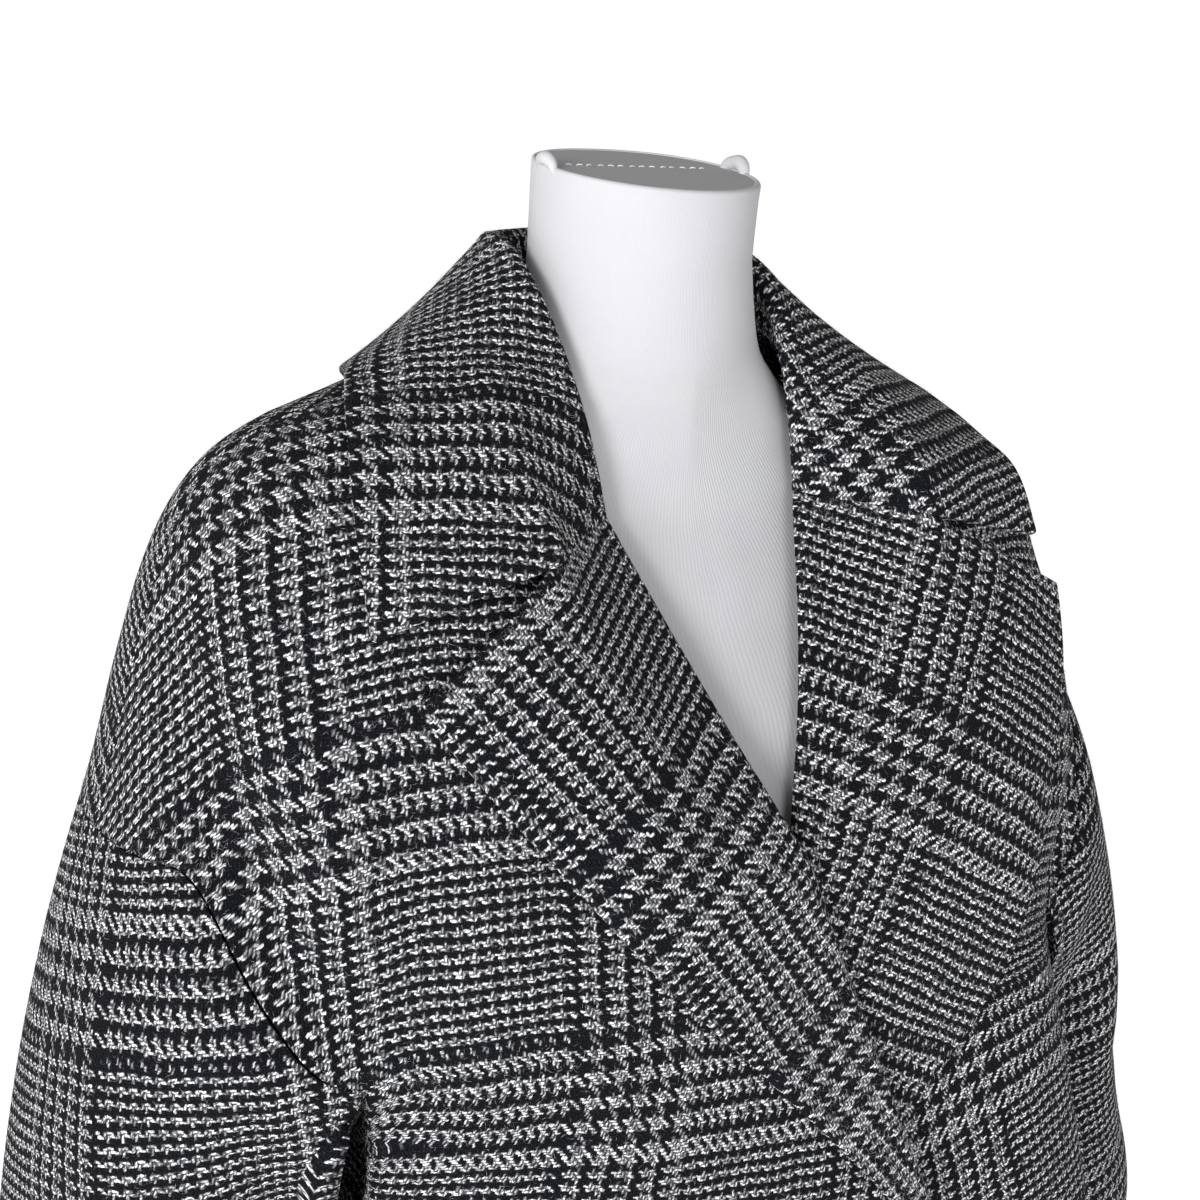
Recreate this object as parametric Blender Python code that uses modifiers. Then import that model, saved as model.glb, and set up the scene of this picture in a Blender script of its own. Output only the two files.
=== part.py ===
"""A wool coat on a limbless dress form, in metres with +Z up.

The coat is double-breasted, with dropped shoulders, a wide notched collar and long lapels. It is
worn open-necked by a padded form on a pole and a round foot. Front is -Y, the wearer's right is -X,
and the origin is on the floor under the pole.

Heights on the coat and the form are given as a drop: metres below the neck point, where the
shoulder seam meets the collar. Distances across are given on the wearer's own side, so that one set
of sizes serves both: own_x grows from the centre front out to the arm, and is negative past it.
"""
import math

import bmesh
import bpy
import numpy as np
from mathutils import Matrix, Vector

# Driving dimensions
NECK_POINT = 1.435        # height of the neck point above the floor
COAT_LENGTH = 0.98        # neck point to hem
UNDERARM = 0.378          # drop of the underarm point, where body and sleeve part
LAP = 0.075               # how far each front reaches past the centre front
BREAK_DROP = 0.442        # drop where the lapels start to turn back
SEAM_TOP = 0.222          # drop of the dropped armhole seam on the outside of the arm
SEAM_LOW = 0.320          # drop where the armhole seam turns under the arm
SEAM_ANGLE = 36.0         # how far round from the centre front it is by then, in degrees
CLOTH = 0.0030            # body and sleeve cloth
FACED = 0.0046            # collar and lapels: two layers
SEAM_GAP = 0.0003         # between neighbouring pieces
GORGE_GAP = 0.0008        # between collar and lapel, along the lapel's roll
ROLL = 0.0064             # outer radius of the collar's and lapels' fold
TUCK = 0.0110             # a front's own edge lies this far inside that fold
SINK = 0.0015             # and this far back from it
GORGE_SINK = 0.0030       # and this much further near the gorge
NECK_TUCK = 0.0035        # the front's edge lies this far outside the neck seam's line
SEAM_STRIP = 0.0040       # width of the faces along a seam, so that both sides turn alike there
LAP_RISE = 0.0145         # the right front stands off the left by this, its lapel lying between
FULLNESS = 2.5            # squareness of the level sections, 2 is an ellipse
MID_Y = 0.012             # the side line lies a little behind the pole
SHOULDER_SAG = 0.032      # the left shoulder sits this much lower
ARM_SAG = 0.004           # and the left arm this much
LEFT_ARM_IN = 0.020       # and the left upper arm hangs this much closer in
LAP_DROPS = (0.15, 0.26)  # drops over which one front comes to stand off the other
LAP_REACH = (0.09, 0.17)  # own_x over which they come together again
ARMPIT_DROPS = (0.21, 0.31)
ARMPIT_FRONT = (0.020, 0.195, 0.032)     # depth, own_x and half width of the hollow at the armpit
ARMPIT_BACK = (0.018, 0.200, 0.034)
HEM_WAVE = 0.020          # height of the long folds at the hem, as a share of the distance out
RIGHT, LEFT = -1, 1

# Level sections of the shoulders, upper arms included
SHOULDER_COLUMNS = ("drop", "half_width", "front", "back")
SHOULDER = (
    (-0.010, 0.040, 0.020, 0.060),
    (0.000, 0.068, 0.022, 0.068),
    (0.020, 0.116, 0.042, 0.066),
    (0.036, 0.162, 0.058, 0.071),
    (0.046, 0.194, 0.066, 0.076),
    (0.060, 0.218, 0.074, 0.086),
    (0.084, 0.237, 0.088, 0.104),
    (0.116, 0.251, 0.106, 0.124),
    (0.156, 0.264, 0.122, 0.138),
    (0.205, 0.278, 0.135, 0.148),
    (0.240, 0.290, 0.141, 0.152),
    (0.300, 0.307, 0.147, 0.156),
    (0.378, 0.324, 0.152, 0.160),
    (0.450, 0.338, 0.159, 0.165),
)

# Level sections of the body below the arms; hollow is how far the sleeve presses its side in
BODY_COLUMNS = ("drop", "half_width", "front", "back", "hollow")
BODY = (
    (0.300, 0.232, 0.147, 0.156, 0.062),
    (0.378, 0.257, 0.152, 0.160, 0.089),
    (0.450, 0.274, 0.159, 0.165, 0.114),
    (0.520, 0.284, 0.165, 0.170, 0.115),
    (0.620, 0.287, 0.169, 0.175, 0.094),
    (0.720, 0.283, 0.170, 0.178, 0.064),
    (0.800, 0.280, 0.168, 0.178, 0.028),
    (0.900, 0.272, 0.163, 0.174, 0.008),
    (0.980, 0.262, 0.157, 0.168, 0.000),
)
BODY_FULLNESS = 3.0
HOLLOW_REACH = 0.104      # half the depth of that hollow, front to back

# The inner edge of each front: the neck seam down to the gorge, then the lapel's roll line
ROLL_COLUMNS = ("drop", "own_x", "depth")
ROLL_LINE = (
    (0.000, 0.074, 0.004),
    (0.030, 0.077, 0.037),
    (0.060, 0.070, 0.051),
    (0.091, 0.054, 0.060),
    (0.165, 0.029, 0.103),
    (0.241, 0.000, 0.145),
)
GORGE_DROP = ROLL_LINE[3][0]
SETTLE = 0.080            # distance over which the front eases from that edge onto its section

# The lapels' outer edges, from the break up to the point, with how far they stand off the front
LAPEL_COLUMNS = ("along", "own_x", "drop", "lift")
LAPEL_EDGE = {
    RIGHT: (
        (0.00, -0.062, 0.446, 0.009),
        (0.16, -0.026, 0.402, 0.009),
        (0.38, 0.031, 0.337, 0.010),
        (0.58, 0.079, 0.284, 0.011),
        (0.74, 0.118, 0.234, 0.012),
        (0.88, 0.151, 0.190, 0.014),
        (1.00, 0.177, 0.149, 0.017),
    ),
    LEFT: (
        (0.00, -0.062, 0.446, 0.0080),
        (0.16, 0.016, 0.418, 0.0080),
        (0.38, 0.088, 0.377, 0.0080),
        (0.58, 0.128, 0.335, 0.009),
        (0.74, 0.160, 0.282, 0.012),
        (0.88, 0.189, 0.218, 0.015),
        (1.00, 0.193, 0.148, 0.019),
    ),
}
NOTCH = (0.102, 0.101, 0.097)      # own_x, depth and drop of the notch between lapel and collar
NOTCH_SHARE = 0.39                 # its share of the way from the fold to the collar's point

# The collar, from the centre back (along 0) to its front end (along 1)
COLLAR_COLUMNS = ("along", "own_x", "y", "drop")
NECK_SEAM = (
    (0.00, 0.000, 0.070, 0.000),
    (0.25, 0.045, 0.056, 0.000),
    (0.45, 0.067, 0.022, 0.000),
    (0.60, 0.074, -0.004, 0.004),
    (0.75, 0.077, -0.035, 0.027),
    (0.88, 0.071, -0.050, 0.058),
    (1.00, 0.062, -0.056, 0.092),
)
FOLD_LINE = (
    (0.00, 0.000, 0.076, -0.030),
    (0.25, 0.045, 0.060, -0.031),
    (0.45, 0.064, 0.024, -0.033),
    (0.60, 0.066, -0.011, -0.018),
    (0.75, 0.061, -0.036, 0.018),
    (0.88, 0.057, -0.051, 0.056),
    (1.00, 0.054, -0.060, 0.090),
)
COLLAR_EDGE = (
    (0.00, 0.000, 0.106, 0.066),
    (0.25, 0.083, 0.102, 0.058),
    (0.45, 0.127, 0.074, 0.0365),
    (0.60, 0.153, 0.012, 0.022),
    (0.75, 0.173, -0.036, 0.040),
    (0.88, 0.184, -0.070, 0.082),
    (1.00, 0.188, -0.090, 0.124),
)

COLLAR_SWELL = (0.0, 0.010, 0.004)       # how far the fall bows out at the back
LAPEL_SWELL = 0.006       # how far a lapel bows off the front
GORGE_SWELL = 0.004       # and its free top edge
COLLAR_LIFT = 0.006       # the collar's left edge stands this much higher off the lower shoulder

# The sleeves below the armhole seam
SLEEVE_COLUMNS = ("drop", "own_x", "y", "half_width", "half_depth")
SLEEVE = (
    (0.460, 0.260, 0.013, 0.082, 0.096),
    (0.560, 0.274, 0.020, 0.080, 0.091),
    (0.650, 0.290, 0.028, 0.074, 0.084),
    (0.720, 0.304, 0.032, 0.070, 0.080),
)
SLEEVE_FULLNESS = 2.5
LEFT_SLEEVE_IN = 0.011    # the left sleeve hangs this much closer in at its top, and is slimmer

# The dress form: level sections from the neck down to the underside of the hips
FORM_COLUMNS = ("drop", "half_width", "front", "back", "front_fullness")
FORM = (
    (-0.020, 0.0550, 0.055, 0.050, 2.0),
    (0.000, 0.0570, 0.055, 0.052, 2.0),
    (0.020, 0.0640, 0.055, 0.058, 1.8),
    (0.040, 0.0980, 0.052, 0.066, 1.5),
    (0.062, 0.1460, 0.050, 0.080, 1.4),
    (0.090, 0.1680, 0.053, 0.094, 1.6),
    (0.140, 0.1740, 0.075, 0.108, 2.0),
    (0.200, 0.1700, 0.108, 0.114, 2.2),
    (0.250, 0.1600, 0.122, 0.112, 2.2),
    (0.320, 0.1430, 0.112, 0.104, 2.2),
    (0.400, 0.1280, 0.100, 0.094, 2.2),
    (0.480, 0.1420, 0.104, 0.104, 2.2),
    (0.560, 0.1620, 0.108, 0.122, 2.2),
    (0.640, 0.1700, 0.108, 0.130, 2.2),
    (0.710, 0.1660, 0.102, 0.124, 2.2),
)
BACK_FULLNESS = 2.2
NECK_TOP = 0.064          # centre of the form's neck cap above the neck point
NECK_LEAN = 0.14          # how far the neck leans forward for each metre up
CAP_SLANT = (0.06, 0.13)  # slope of the neck cap, down to the wearer's left and to the front

# Buttons and stand. A button's outline runs from the middle of its top round to its underside
BUTTON_COLUMNS = ("radius", "height")
BUTTON = (
    (0.0000, 0.0034),
    (0.0096, 0.0034),
    (0.0112, 0.0048),
    (0.0134, 0.0050),
    (0.0150, 0.0032),
    (0.0140, 0.0000),
    (0.0000, 0.0000),
)
BUTTON_ACROSS = 0.055     # either side of the centre front
BUTTON_DROPS = (0.480, 0.600)
BUTTON_STEPS = 20
BUTTON_STAND_OFF = 0.0005 # clear of the cloth under it
DRILL_LENGTH = 0.02
HOLE_RADIUS = 0.0012
HOLE_SPACING = 0.0052     # between neighbouring holes of a button
POLE_RADIUS = 0.0125
FOOT_RADIUS = 0.180
FOOT_THICKNESS = 0.008

# Points across each piece, and for the last three along and across
FRONT_COLUMNS = 15
BACK_COLUMNS = 13         # in each half
LAPEL_MESH = (17, 9)
COLLAR_MESH = (17, 13)    # from the centre back to one end
FORM_MESH = (32, 24)      # round, and down from the neck

# Colours, linear RGB
WOOL = (0.085, 0.088, 0.095)
JERSEY = (0.80, 0.80, 0.82)
BUTTON_BLACK = (0.020, 0.020, 0.022)
STEEL_WHITE = (0.72, 0.72, 0.72)


def column(rows, names, name, at):
    """The named column of a table at a place along its first column, on a smooth monotone curve."""
    data = np.array(rows, dtype=float)
    x = data[:, 0]
    y = data[:, names.index(name)]
    step = np.diff(x)
    slope = np.diff(y) / step
    tangent = np.empty_like(y)
    tangent[0] = slope[0]
    tangent[-1] = slope[-1]
    for i in range(1, len(y) - 1):
        if slope[i - 1] * slope[i] <= 0.0:
            tangent[i] = 0.0
        else:
            before = 2.0 * step[i] + step[i - 1]
            after = step[i] + 2.0 * step[i - 1]
            tangent[i] = (before + after) / (before / slope[i - 1] + after / slope[i])
    at = np.clip(np.asarray(at, dtype=float), x[0], x[-1])
    i = np.clip(np.searchsorted(x, at, side="right") - 1, 0, len(x) - 2)
    t = (at - x[i]) / step[i]
    return ((1.0 + 2.0 * t) * (1.0 - t) ** 2 * y[i] + t * (1.0 - t) ** 2 * step[i] * tangent[i]
            + t * t * (3.0 - 2.0 * t) * y[i + 1] + t * t * (t - 1.0) * step[i] * tangent[i + 1])


def ramp(start, end, value):
    """0 before start, 1 after end, easing between them."""
    t = np.clip((np.asarray(value, dtype=float) - start) / (end - start), 0.0, 1.0)
    return t * t * (3.0 - 2.0 * t)


def superellipse(share, fullness):
    """Depth left, from 1 to 0, at a share of the half width."""
    return (1.0 - np.clip(np.abs(share), 0.0, 1.0) ** fullness) ** (1.0 / fullness)


def angle_to_share(angle, fullness):
    """Share of the half width at an angle round from the centre front."""
    s = np.sin(np.radians(angle))
    return np.sign(s) * np.abs(s) ** (2.0 / fullness)


def share_to_angle(share, fullness):
    """Angle round from the centre front at a share of the half width."""
    s = min(abs(share), 1.0) ** (fullness / 2.0)
    return math.degrees(math.asin(math.copysign(s, share)))


def left_sag(own_x, drop):
    """How much lower the left side sits, most on the shoulder."""
    level_again = 0.112 + 0.110 * ramp(0.185, 0.230, own_x)
    shoulder = SHOULDER_SAG * ramp(0.03, 0.13, own_x) * (1.0 - ramp(0.035, level_again, drop))
    return shoulder + ARM_SAG * ramp(0.06, 0.24, own_x) * ramp(0.10, 0.24, drop)


def point(side, own_x, y, drop):
    """World points from own_x, y and drop; the left side hangs lower towards its shoulder."""
    own_x, y, drop = np.broadcast_arrays(own_x, y, drop)
    sag = left_sag(own_x, drop) if side == LEFT else 0.0
    return np.stack([side * own_x, y, NECK_POINT - drop - sag], axis=-1)


# The coat's outer surface

def lap(side, own_x, drop):
    """How far the right front stands out, and the left one back, where one laps over the other."""
    near = ramp(*LAP_DROPS, drop) * (1.0 - ramp(*LAP_REACH, own_x))
    return -0.5 * side * LAP_RISE * near


def shoulder_width(side, drop):
    """Half width at the shoulders and upper arms; the left arm hangs closer in."""
    width = column(SHOULDER, SHOULDER_COLUMNS, "half_width", drop)
    return width - (LEFT_ARM_IN * ramp(0.05, 0.15, drop) if side == LEFT else 0.0)


def armpit(own_x, drop, depth, middle, half_width):
    """How far the cloth sinks in between chest or back and arm."""
    return depth * ramp(*ARMPIT_DROPS, drop) * np.exp(-((own_x - middle) / half_width) ** 2)


def shoulder_y(side, own_x, drop, front):
    """Y of the shoulder part at own_x: the front or back half of its level section."""
    share = own_x / shoulder_width(side, drop)
    round_part = superellipse(share, FULLNESS)
    if front:
        reach = column(SHOULDER, SHOULDER_COLUMNS, "front", drop) + MID_Y
        reach = reach - armpit(own_x, drop, *ARMPIT_FRONT)
        return MID_Y - reach * round_part - lap(side, own_x, drop)
    reach = column(SHOULDER, SHOULDER_COLUMNS, "back", drop) - MID_Y
    return MID_Y + (reach - armpit(own_x, drop, *ARMPIT_BACK)) * round_part


def inner_edge(drop):
    """own_x and depth of a front's inner edge at a drop; depth is None below the lapels' meeting."""
    if drop <= ROLL_LINE[-1][0]:
        return (float(column(ROLL_LINE, ROLL_COLUMNS, "own_x", drop)),
                float(column(ROLL_LINE, ROLL_COLUMNS, "depth", drop)))
    share = min((drop - ROLL_LINE[-1][0]) / (BREAK_DROP - ROLL_LINE[-1][0]), 1.0)
    return -LAP * share, None


def front_y(side, own_x, drop):
    """Y of a front's outer surface, eased onto its inner edge where that lies back from the section."""
    own_x, drop = np.broadcast_arrays(np.asarray(own_x, float), np.asarray(drop, float))
    low = ROLL_LINE[-1][0]
    edge_drop = np.minimum(drop, low)
    edge_x = column(ROLL_LINE, ROLL_COLUMNS, "own_x", edge_drop)
    edge_y = -column(ROLL_LINE, ROLL_COLUMNS, "depth", edge_drop) - lap(side, edge_x, edge_drop)
    pull = edge_y - shoulder_y(side, edge_x, edge_drop, True)
    pull = pull * (1.0 - ramp(low, low + 0.06, drop)) * (1.0 - ramp(0.0, SETTLE, own_x - edge_x))
    pull = pull * (1.0 - ramp(0.85, 1.0, own_x / shoulder_width(side, drop)))
    return shoulder_y(side, own_x, drop, True) + pull


def sleeve_in(side, drop):
    """How much closer to the body the left sleeve hangs at its top."""
    if side == RIGHT:
        return 0.0
    return LEFT_SLEEVE_IN * ramp(0.30, 0.40, drop) * (1.0 - ramp(0.46, 0.58, drop))


def body_point(side, angle, drop):
    """Points of the body below the arms at an angle round from the centre front."""
    front = np.abs(angle) <= 90.0
    share = angle_to_share(np.where(front, angle, 180.0 - angle), BODY_FULLNESS)
    own_x = column(BODY, BODY_COLUMNS, "half_width", drop) * share
    round_part = superellipse(share, BODY_FULLNESS)
    front_reach = column(BODY, BODY_COLUMNS, "front", drop) + MID_Y
    back_reach = column(BODY, BODY_COLUMNS, "back", drop) - MID_Y
    y = np.where(front, MID_Y - front_reach * round_part, MID_Y + back_reach * round_part)
    hollow = column(BODY, BODY_COLUMNS, "hollow", drop) + sleeve_in(side, drop)
    hollow = hollow * np.exp(-((y - MID_Y) / HOLLOW_REACH) ** 4)
    own_x = own_x - hollow * ramp(0.3, 0.9, own_x / 0.25)
    y = np.where(front, y - lap(side, own_x, drop), y)
    y = y * (1.0 + hem_wave(side, angle, drop))
    own_x = own_x * (1.0 + hem_wave(side, angle, drop))
    return point(side, own_x, y, drop)


def hem_wave(side, angle, drop):
    """The cloth hangs in a few long soft folds, deeper towards the hem."""
    turn = np.radians(angle)
    shape = 0.6 * np.cos(5.0 * turn + 0.8 * side) + 0.4 * np.cos(9.0 * turn - 1.1 * side)
    return HEM_WAVE * shape * ramp(0.50, 0.98, drop) * ramp(20.0, 60.0, np.abs(angle))


def armhole(share):
    """Angle and drop of the armhole seam: share 0 under the arm's front, 1 on top of the arm."""
    angle = SEAM_ANGLE + (90.0 - SEAM_ANGLE) * share
    drop = SEAM_TOP + (SEAM_LOW - SEAM_TOP) * ramp(0.35, 1.0, 1.0 - share)
    return angle, drop


def resample(path, count, trim_start=0.0, trim_end=0.0, strip=0.0):
    """count points along a path cut back by the trims: even steps, then a short one if asked."""
    run = np.concatenate([[0.0], np.cumsum(np.linalg.norm(np.diff(path, axis=0), axis=1))])
    last = run[-1] - trim_end
    strip = min(strip, 0.3 * (last - trim_start) / count)
    if strip > 0.0:
        places = np.append(np.linspace(trim_start, last - strip, count - 1), last)
    else:
        places = np.linspace(trim_start, last, count)
    return np.stack([np.interp(places, run, path[:, k]) for k in range(3)], axis=1)


# Rows across a panel: kinds of outer end, from the hem up

HEM_ROWS, UNDER_ROWS, ARM_ROWS, TOP_ROWS = 11, 3, 6, 8
SIDE_TO, UNDER_TO, ARM_TO = 0.380, 0.310, 0.150      # drops at the inner ends where these parts end


def row_plan():
    """Each row's part of the panel, the drop at its inner end and its place along that part."""
    plan = []
    for i in range(HEM_ROWS):
        share = i / HEM_ROWS
        outer = COAT_LENGTH + (UNDERARM - COAT_LENGTH) * share
        inner = COAT_LENGTH + (SIDE_TO - COAT_LENGTH) * share
        plan.append(("side", inner, outer))
    for i in range(UNDER_ROWS):
        share = i / UNDER_ROWS
        plan.append(("under", SIDE_TO + (UNDER_TO - SIDE_TO) * share, share))
    for i in range(ARM_ROWS):
        share = i / ARM_ROWS
        plan.append(("arm", UNDER_TO + (ARM_TO - UNDER_TO) * share, share))
    for i in range(TOP_ROWS + 1):
        share = i / TOP_ROWS
        inner = ARM_TO * (1.0 - share) + 0.006 * share
        outer = SEAM_TOP * (1.0 - share) ** 1.15 + 0.004 * share
        plan.append(("top", inner, outer))
    return plan


DENSE = np.linspace(0.0, 1.0, 241)


def shoulder_row(side, inner_drop, end_angle, end_drop, start_x, front):
    """A dense row on the shoulder part, from start_x to an angle and drop at the seam."""
    start = share_to_angle(start_x / float(shoulder_width(side, inner_drop)), FULLNESS)
    angle = start + (end_angle - start) * DENSE
    drop = inner_drop + (end_drop - inner_drop) * DENSE
    own_x = shoulder_width(side, drop) * angle_to_share(angle, FULLNESS)
    if front:
        y = front_y(side, own_x, drop)
    else:
        y = shoulder_y(side, own_x, drop, False)
    return point(side, own_x, y, drop)


def body_row(side, inner_drop, outer_drop, start_x, front):
    """A dense row on the body, from start_x round to the side seam."""
    width = float(column(BODY, BODY_COLUMNS, "half_width", inner_drop))
    start = share_to_angle(start_x / width, BODY_FULLNESS)
    angle = start + (90.0 - start) * DENSE
    if not front:
        angle = 180.0 - angle
    drop = inner_drop + (outer_drop - inner_drop) * ramp(0.0, 1.0, DENSE)
    return body_point(side, angle, drop)


def panel_row(side, row, front, start_x=None):
    """One dense row of a front (from its inner edge) or of half the back (from the centre back)."""
    kind, inner_drop, end = row
    if start_x is None:
        start_x = inner_edge(inner_drop)[0] if front else 0.0
    if kind == "side":
        return body_row(side, inner_drop, end, start_x, front)
    if kind == "top":
        return shoulder_row(side, inner_drop, 90.0, end, start_x, front)
    angle, drop = armhole(end if kind == "arm" else 0.0)
    upper = shoulder_row(side, inner_drop, angle, drop, start_x, front)
    if kind == "arm":
        return upper
    lower = body_row(side, inner_drop, UNDERARM, start_x, front)
    risen = float(ramp(0.0, 1.0, end))
    turn = int(np.argmin(np.linalg.norm(lower[:, :2] - upper[-1, :2], axis=1)))
    corner = DENSE[turn]
    places = DENSE * (1.0 - (1.0 - corner) * risen)
    reached = np.minimum(places / corner, 1.0)
    shift = [np.interp(reached, DENSE, upper[:, k] - np.interp(DENSE * corner, DENSE, lower[:, k]))
             for k in range(3)]
    lower = np.stack([np.interp(places, DENSE, lower[:, k]) for k in range(3)], axis=1)
    return lower + np.stack(shift, axis=1) * risen


def front_grid(side, columns):
    """The front panel, hem to shoulder, from its inner edge out."""
    rows = []
    for row in row_plan():
        drop = row[1]
        below_neck = float(ramp(0.05, GORGE_DROP, drop))
        trim = NECK_TUCK + (TUCK - NECK_TUCK) * below_neck if drop < BREAK_DROP else 0.0
        sink = (SINK + GORGE_SINK * (1.0 - float(ramp(0.10, 0.20, drop)))) * below_neck
        path = panel_row(side, row, True)
        if drop < BREAK_DROP:
            path[:, 1] += sink * (1.0 - ramp(0.02, 0.06, np.abs(path[:, 0] - path[0, 0])))
        rows.append(resample(path, columns, trim, SEAM_GAP, SEAM_STRIP))
    return np.array(rows)


def back_grid(columns):
    """The back panel, hem to shoulder, from the right side seam round to the left."""
    rows = []
    for row in row_plan():
        if row[0] == "top" and row[1] < 0.010:
            row = ("top", 0.006, row[2])
        halves = []
        for side in (RIGHT, LEFT):
            halves.append(resample(panel_row(side, row, False), columns, 0.0, SEAM_GAP,
                                   SEAM_STRIP))
        rows.append(np.concatenate([halves[0][::-1], halves[1][1:]]))
    return np.array(rows)


# The sleeves

SLEEVE_BLEND = 5          # rings from the armhole seam to the first level ring
SLEEVE_RINGS = 5          # level rings from there to the cuff
UNDERARM_SPLAY = 1.0      # slope of the sleeve away from the body at the underarm seam
SLEEVE_SPLAY = 0.5        # how far the sleeve turns out where the armhole seam turns under
ARMHOLE_GAP = 0.0015      # between the sleeve and the panels it is set into


def armhole_side(side, front):
    """Row ends round half of the armhole, from the top of the arm down to the underarm point.

    Each comes with the way the sleeve's surface runs on from it.
    """
    ends, ways = [], []
    for share in np.linspace(1.0, 0.0, ARM_ROWS + 1):
        angle, drop = armhole(share)
        pair = []
        for step in (0.0, 0.02):
            own_x = shoulder_width(side, drop + step) * angle_to_share(angle, FULLNESS)
            y = (front_y(side, own_x, drop + step) if front
                 else shoulder_y(side, own_x, drop + step, False))
            pair.append(point(side, own_x, y, drop + step))
        ends.append(pair[0])
        way = (pair[1] - pair[0]) / 0.02
        way[0] += side * SLEEVE_SPLAY * (1.0 - share) ** 2
        ways.append(way)
    for share in np.linspace(1.0, 0.0, UNDER_ROWS + 1)[1:]:
        row = ("under", SIDE_TO + (UNDER_TO - SIDE_TO) * share, share)
        ends.append(panel_row(side, row, front, 0.0)[-1])
        ways.append(np.array([UNDERARM_SPLAY * side, 0.0, -1.0]))
    return ends, ways


def armhole_loop(side):
    """The armhole round by the front and back up the back, with a point midway between row ends."""
    front_ends, front_ways = armhole_side(side, True)
    back_ends, back_ways = armhole_side(side, False)
    ends = np.array(front_ends + back_ends[::-1][1:-1])
    ways = np.array(front_ways + back_ways[::-1][1:-1])
    middles = (ends + np.roll(ends, -1, axis=0)) / 2.0
    middle_ways = (ways + np.roll(ways, -1, axis=0)) / 2.0
    loop = np.stack([ends, middles], axis=1).reshape(-1, 3)
    return loop, np.stack([ways, middle_ways], axis=1).reshape(-1, 3)


def sleeve_ring(side, drop, count):
    """A level ring of the sleeve, from the outside of the arm round by the front."""
    own_x, y, half_width, half_depth = [float(column(SLEEVE, SLEEVE_COLUMNS, name, drop))
                                        for name in SLEEVE_COLUMNS[1:]]
    closer = float(sleeve_in(side, drop))
    own_x, half_width, half_depth = own_x - closer, half_width - 0.6 * closer, half_depth - 0.5 * closer
    angles = np.linspace(0.0, 2.0 * math.pi, 361)
    s, c = np.sin(angles), np.cos(angles)
    across = np.sign(c) * np.abs(c) ** (2.0 / SLEEVE_FULLNESS)
    ahead = np.sign(s) * np.abs(s) ** (2.0 / SLEEVE_FULLNESS)
    path = point(side, own_x + half_width * across, y - half_depth * ahead, drop)
    return resample(path, count + 1)[:-1]


def sleeve_grid(side):
    """The sleeve, from the armhole seam down to the cuff, closed round the arm."""
    loop, ways = armhole_loop(side)
    count = len(loop)
    along = ways / np.linalg.norm(ways, axis=1)[:, None]
    start = loop + along * ARMHOLE_GAP
    first = SLEEVE[0][0]
    ring = sleeve_ring(side, first, count)
    ring_ways = (sleeve_ring(side, first + 0.02, count) - ring) / 0.02
    reach = np.linalg.norm(ring - start, axis=1)[:, None]
    rows = [start]
    shares = np.linspace(0.0, 1.0, SLEEVE_BLEND + 1)
    shares[0] = SEAM_STRIP / float(reach.mean())
    for t in shares[:-1]:
        rows.append((1 + 2 * t) * (1 - t) ** 2 * start + t * (1 - t) ** 2 * reach * ways
                    + t * t * (3 - 2 * t) * ring + t * t * (t - 1) * reach * ring_ways)
    for drop in np.linspace(first, SLEEVE[-1][0], SLEEVE_RINGS):
        rows.append(sleeve_ring(side, drop, count))
    return np.array(rows)


# Collar and lapels

def collar_line(table, side, along):
    """Points of one of the collar's long lines."""
    values = [column(table, COLLAR_COLUMNS, name, along) for name in ("own_x", "y", "drop")]
    return point(side, *values)


def unit(vector):
    return vector / np.linalg.norm(vector)


def notch_offset(side, share):
    """How far the notch carries the collar's end off the straight, at a share of the way out."""
    start = collar_line(FOLD_LINE, side, 1.0)
    end = collar_line(COLLAR_EDGE, side, 1.0)
    notch = point(side, NOTCH[0], -NOTCH[1], NOTCH[2])
    off = notch - (start + (end - start) * NOTCH_SHARE)
    return off * min(share / NOTCH_SHARE, (1.0 - share) / (1.0 - NOTCH_SHARE))


def collar_path(side, along):
    """A dense section of the collar: neck seam, up the stand and over the fold, down the fall.

    Returns the way from the seam to the notch's share of the fall, and the way on to the edge.
    """
    seam = collar_line(NECK_SEAM, side, along)
    fold = collar_line(FOLD_LINE, side, along)
    edge = collar_line(COLLAR_EDGE, side, along)
    if side == LEFT:
        edge[2] += COLLAR_LIFT * float(ramp(0.15, 0.40, along) * (1.0 - ramp(0.85, 1.0, along)))
    down = unit(unit(seam - fold) + unit(edge - fold))
    out = edge - seam
    out = unit(out - down * float(np.dot(out, down)))
    centre = fold + down * ROLL
    inner = [seam - out * ROLL]
    for turn in np.linspace(-90.0, 90.0, 9):
        arc = math.radians(turn)
        inner.append(centre + ROLL * (out * math.sin(arc) - down * math.cos(arc)))
    top = inner[-1]
    front = float(ramp(0.62, 1.0, along))
    back = float(1.0 - ramp(0.15, 0.50, along))

    def fall(share):
        swell = np.array(COLLAR_SWELL) * (4.0 * share * (1.0 - share) * back)
        return top + (edge - top) * share + swell + notch_offset(side, share) * front

    inner += [fall(share) for share in np.linspace(0.0, NOTCH_SHARE, 9)[1:]]
    outer = [fall(share) for share in np.linspace(NOTCH_SHARE, 1.0, 17)]
    return np.array(inner), np.array(outer)


def join(inner, outer, across):
    """Even steps along both parts of a section, with a point where they meet."""
    first = across // 2 + 1
    return np.concatenate([resample(inner, first), resample(outer, across - first + 1)[1:]])


def collar_section(side, along, across):
    return join(*collar_path(side, along), across)


def collar_grid(halves, across):
    """The collar from its right front end round the back to its left one."""
    right = [collar_section(RIGHT, along, across) for along in np.linspace(1.0, 0.0, halves)]
    left = [collar_section(LEFT, along, across) for along in np.linspace(0.0, 1.0, halves)[1:]]
    return np.array(right + left)


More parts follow.
